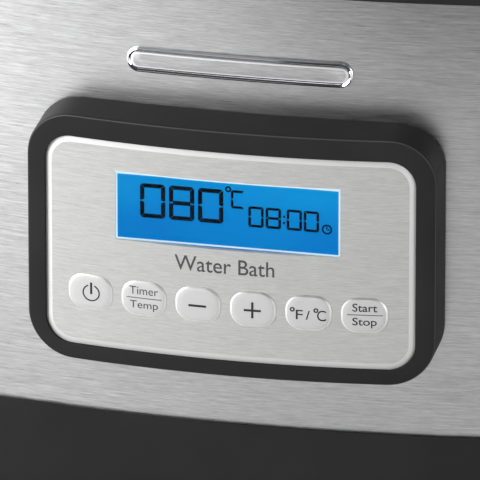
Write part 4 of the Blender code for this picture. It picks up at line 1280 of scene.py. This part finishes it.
def make_floor():
    mesh = bpy.data.meshes.new("floor")
    signs = ((-1, -1), (1, -1), (1, 1), (-1, 1))
    corners = [(sx * FLOOR_REACH, sy * FLOOR_REACH, 0) for sx, sy in signs]
    mesh.from_pydata(corners, [], [(0, 1, 2, 3)])
    floor = linked("floor", mesh)
    floor.data.materials.append(principled("pale_floor", linear(225, 225, 224), 0.6)[0])


def area_light(name, at, target, size, power, size_y=None):
    light = bpy.data.lights.new(name, "AREA")
    light.shape = "RECTANGLE"
    light.size = size
    light.size_y = size_y or size
    light.energy = power
    made = linked(name, light)
    made.location = at
    made.rotation_euler = (Vector(target) - Vector(at)).to_track_quat("-Z", "Y").to_euler()


def make_lights():
    world = bpy.data.worlds.new("studio")
    world.use_nodes = True
    background = world.node_tree.nodes["Background"]
    background.inputs["Color"].default_value = (1, 1, 1, 1)
    background.inputs["Strength"].default_value = 0.06
    bpy.context.scene.world = world
    aim = (0, -0.14, PANEL_Z * MM)
    area_light("key_light", (-1.45, -1.05, 0.62), aim, 0.9, 36, 1.1)
    area_light("floor_glow", (-0.6, -0.75, 0.7), (-0.24, -0.45, 0), 0.4, 6.5)
    area_light("floor_right", (0.35, -0.62, 1.15), (0.3, -0.42, 0), 0.35, 0.7)
    area_light("side_fill", (1.35, -1.2, 0.3), aim, 0.6, 13)
    area_light("horizon_card", (-0.5, -1.5, 0.2), aim, 0.6, 0.55, 0.24)
    area_light("upper_card", (-0.55, -1.35, 0.95), aim, 0.7, 0.35, 0.45)
    area_light("overhead_card", (-0.25, -0.75, 1.45), aim, 0.35, 0.5)
    area_light("rear_fill", (0.6, 1.6, 1.4), (0, 0, 0.15), 1.2, 9)


CAMERA_AZIMUTH = 12.2
CAMERA_ELEVATION = 23.0
CAMERA_DISTANCE = 4.03
LENS_MM = 847.5


def make_camera():
    camera = linked("camera", bpy.data.cameras.new("camera"))
    bpy.context.scene.camera = camera
    camera.data.lens = LENS_MM
    camera.data.sensor_width = 36.0
    camera.data.clip_end = 50.0
    a, e = math.radians(CAMERA_AZIMUTH), math.radians(CAMERA_ELEVATION)
    away = Vector((math.sin(a) * math.cos(e), -math.cos(a) * math.cos(e), math.sin(e)))
    turn = away.to_track_quat("Z", "Y")
    camera.rotation_euler = turn.to_euler()
    aim = Vector((0, steel_y(0), PANEL_Z)) * MM + CENTRE
    offset = turn @ Vector((0.25, -2.45, 0)) * MM
    camera.location = aim + offset + away * CAMERA_DISTANCE


make_camera()
make_floor()
make_lights()
make_housing()
make_base()
make_rim()
make_feet()
make_screws()
make_handles()
make_tank()
make_probe()
make_seal()
make_stirrer()
make_guard()
make_rack()
make_lid()
make_lid_handle()
make_inlet()
make_panel_frame()
make_fascia()
for key in KEY_NAMES:
    make_key(key)
make_display()
make_print()
make_badge()

SHARP_INNER = ("transformer", "motor_bracket", "panel_back", "lcd_module", "control_board")
for part in frame["record"]["subparts"]:
    node = NODES[part["node"]]
    if not node.hide_render:
        node.data.materials.clear()
        node.data.materials.append(LOOKS[part["material_slot"]])
        if part["node"] in SHARP_INNER:
            soften(node, 0.4, 2)

bpy.context.scene.view_settings.view_transform = "Standard"
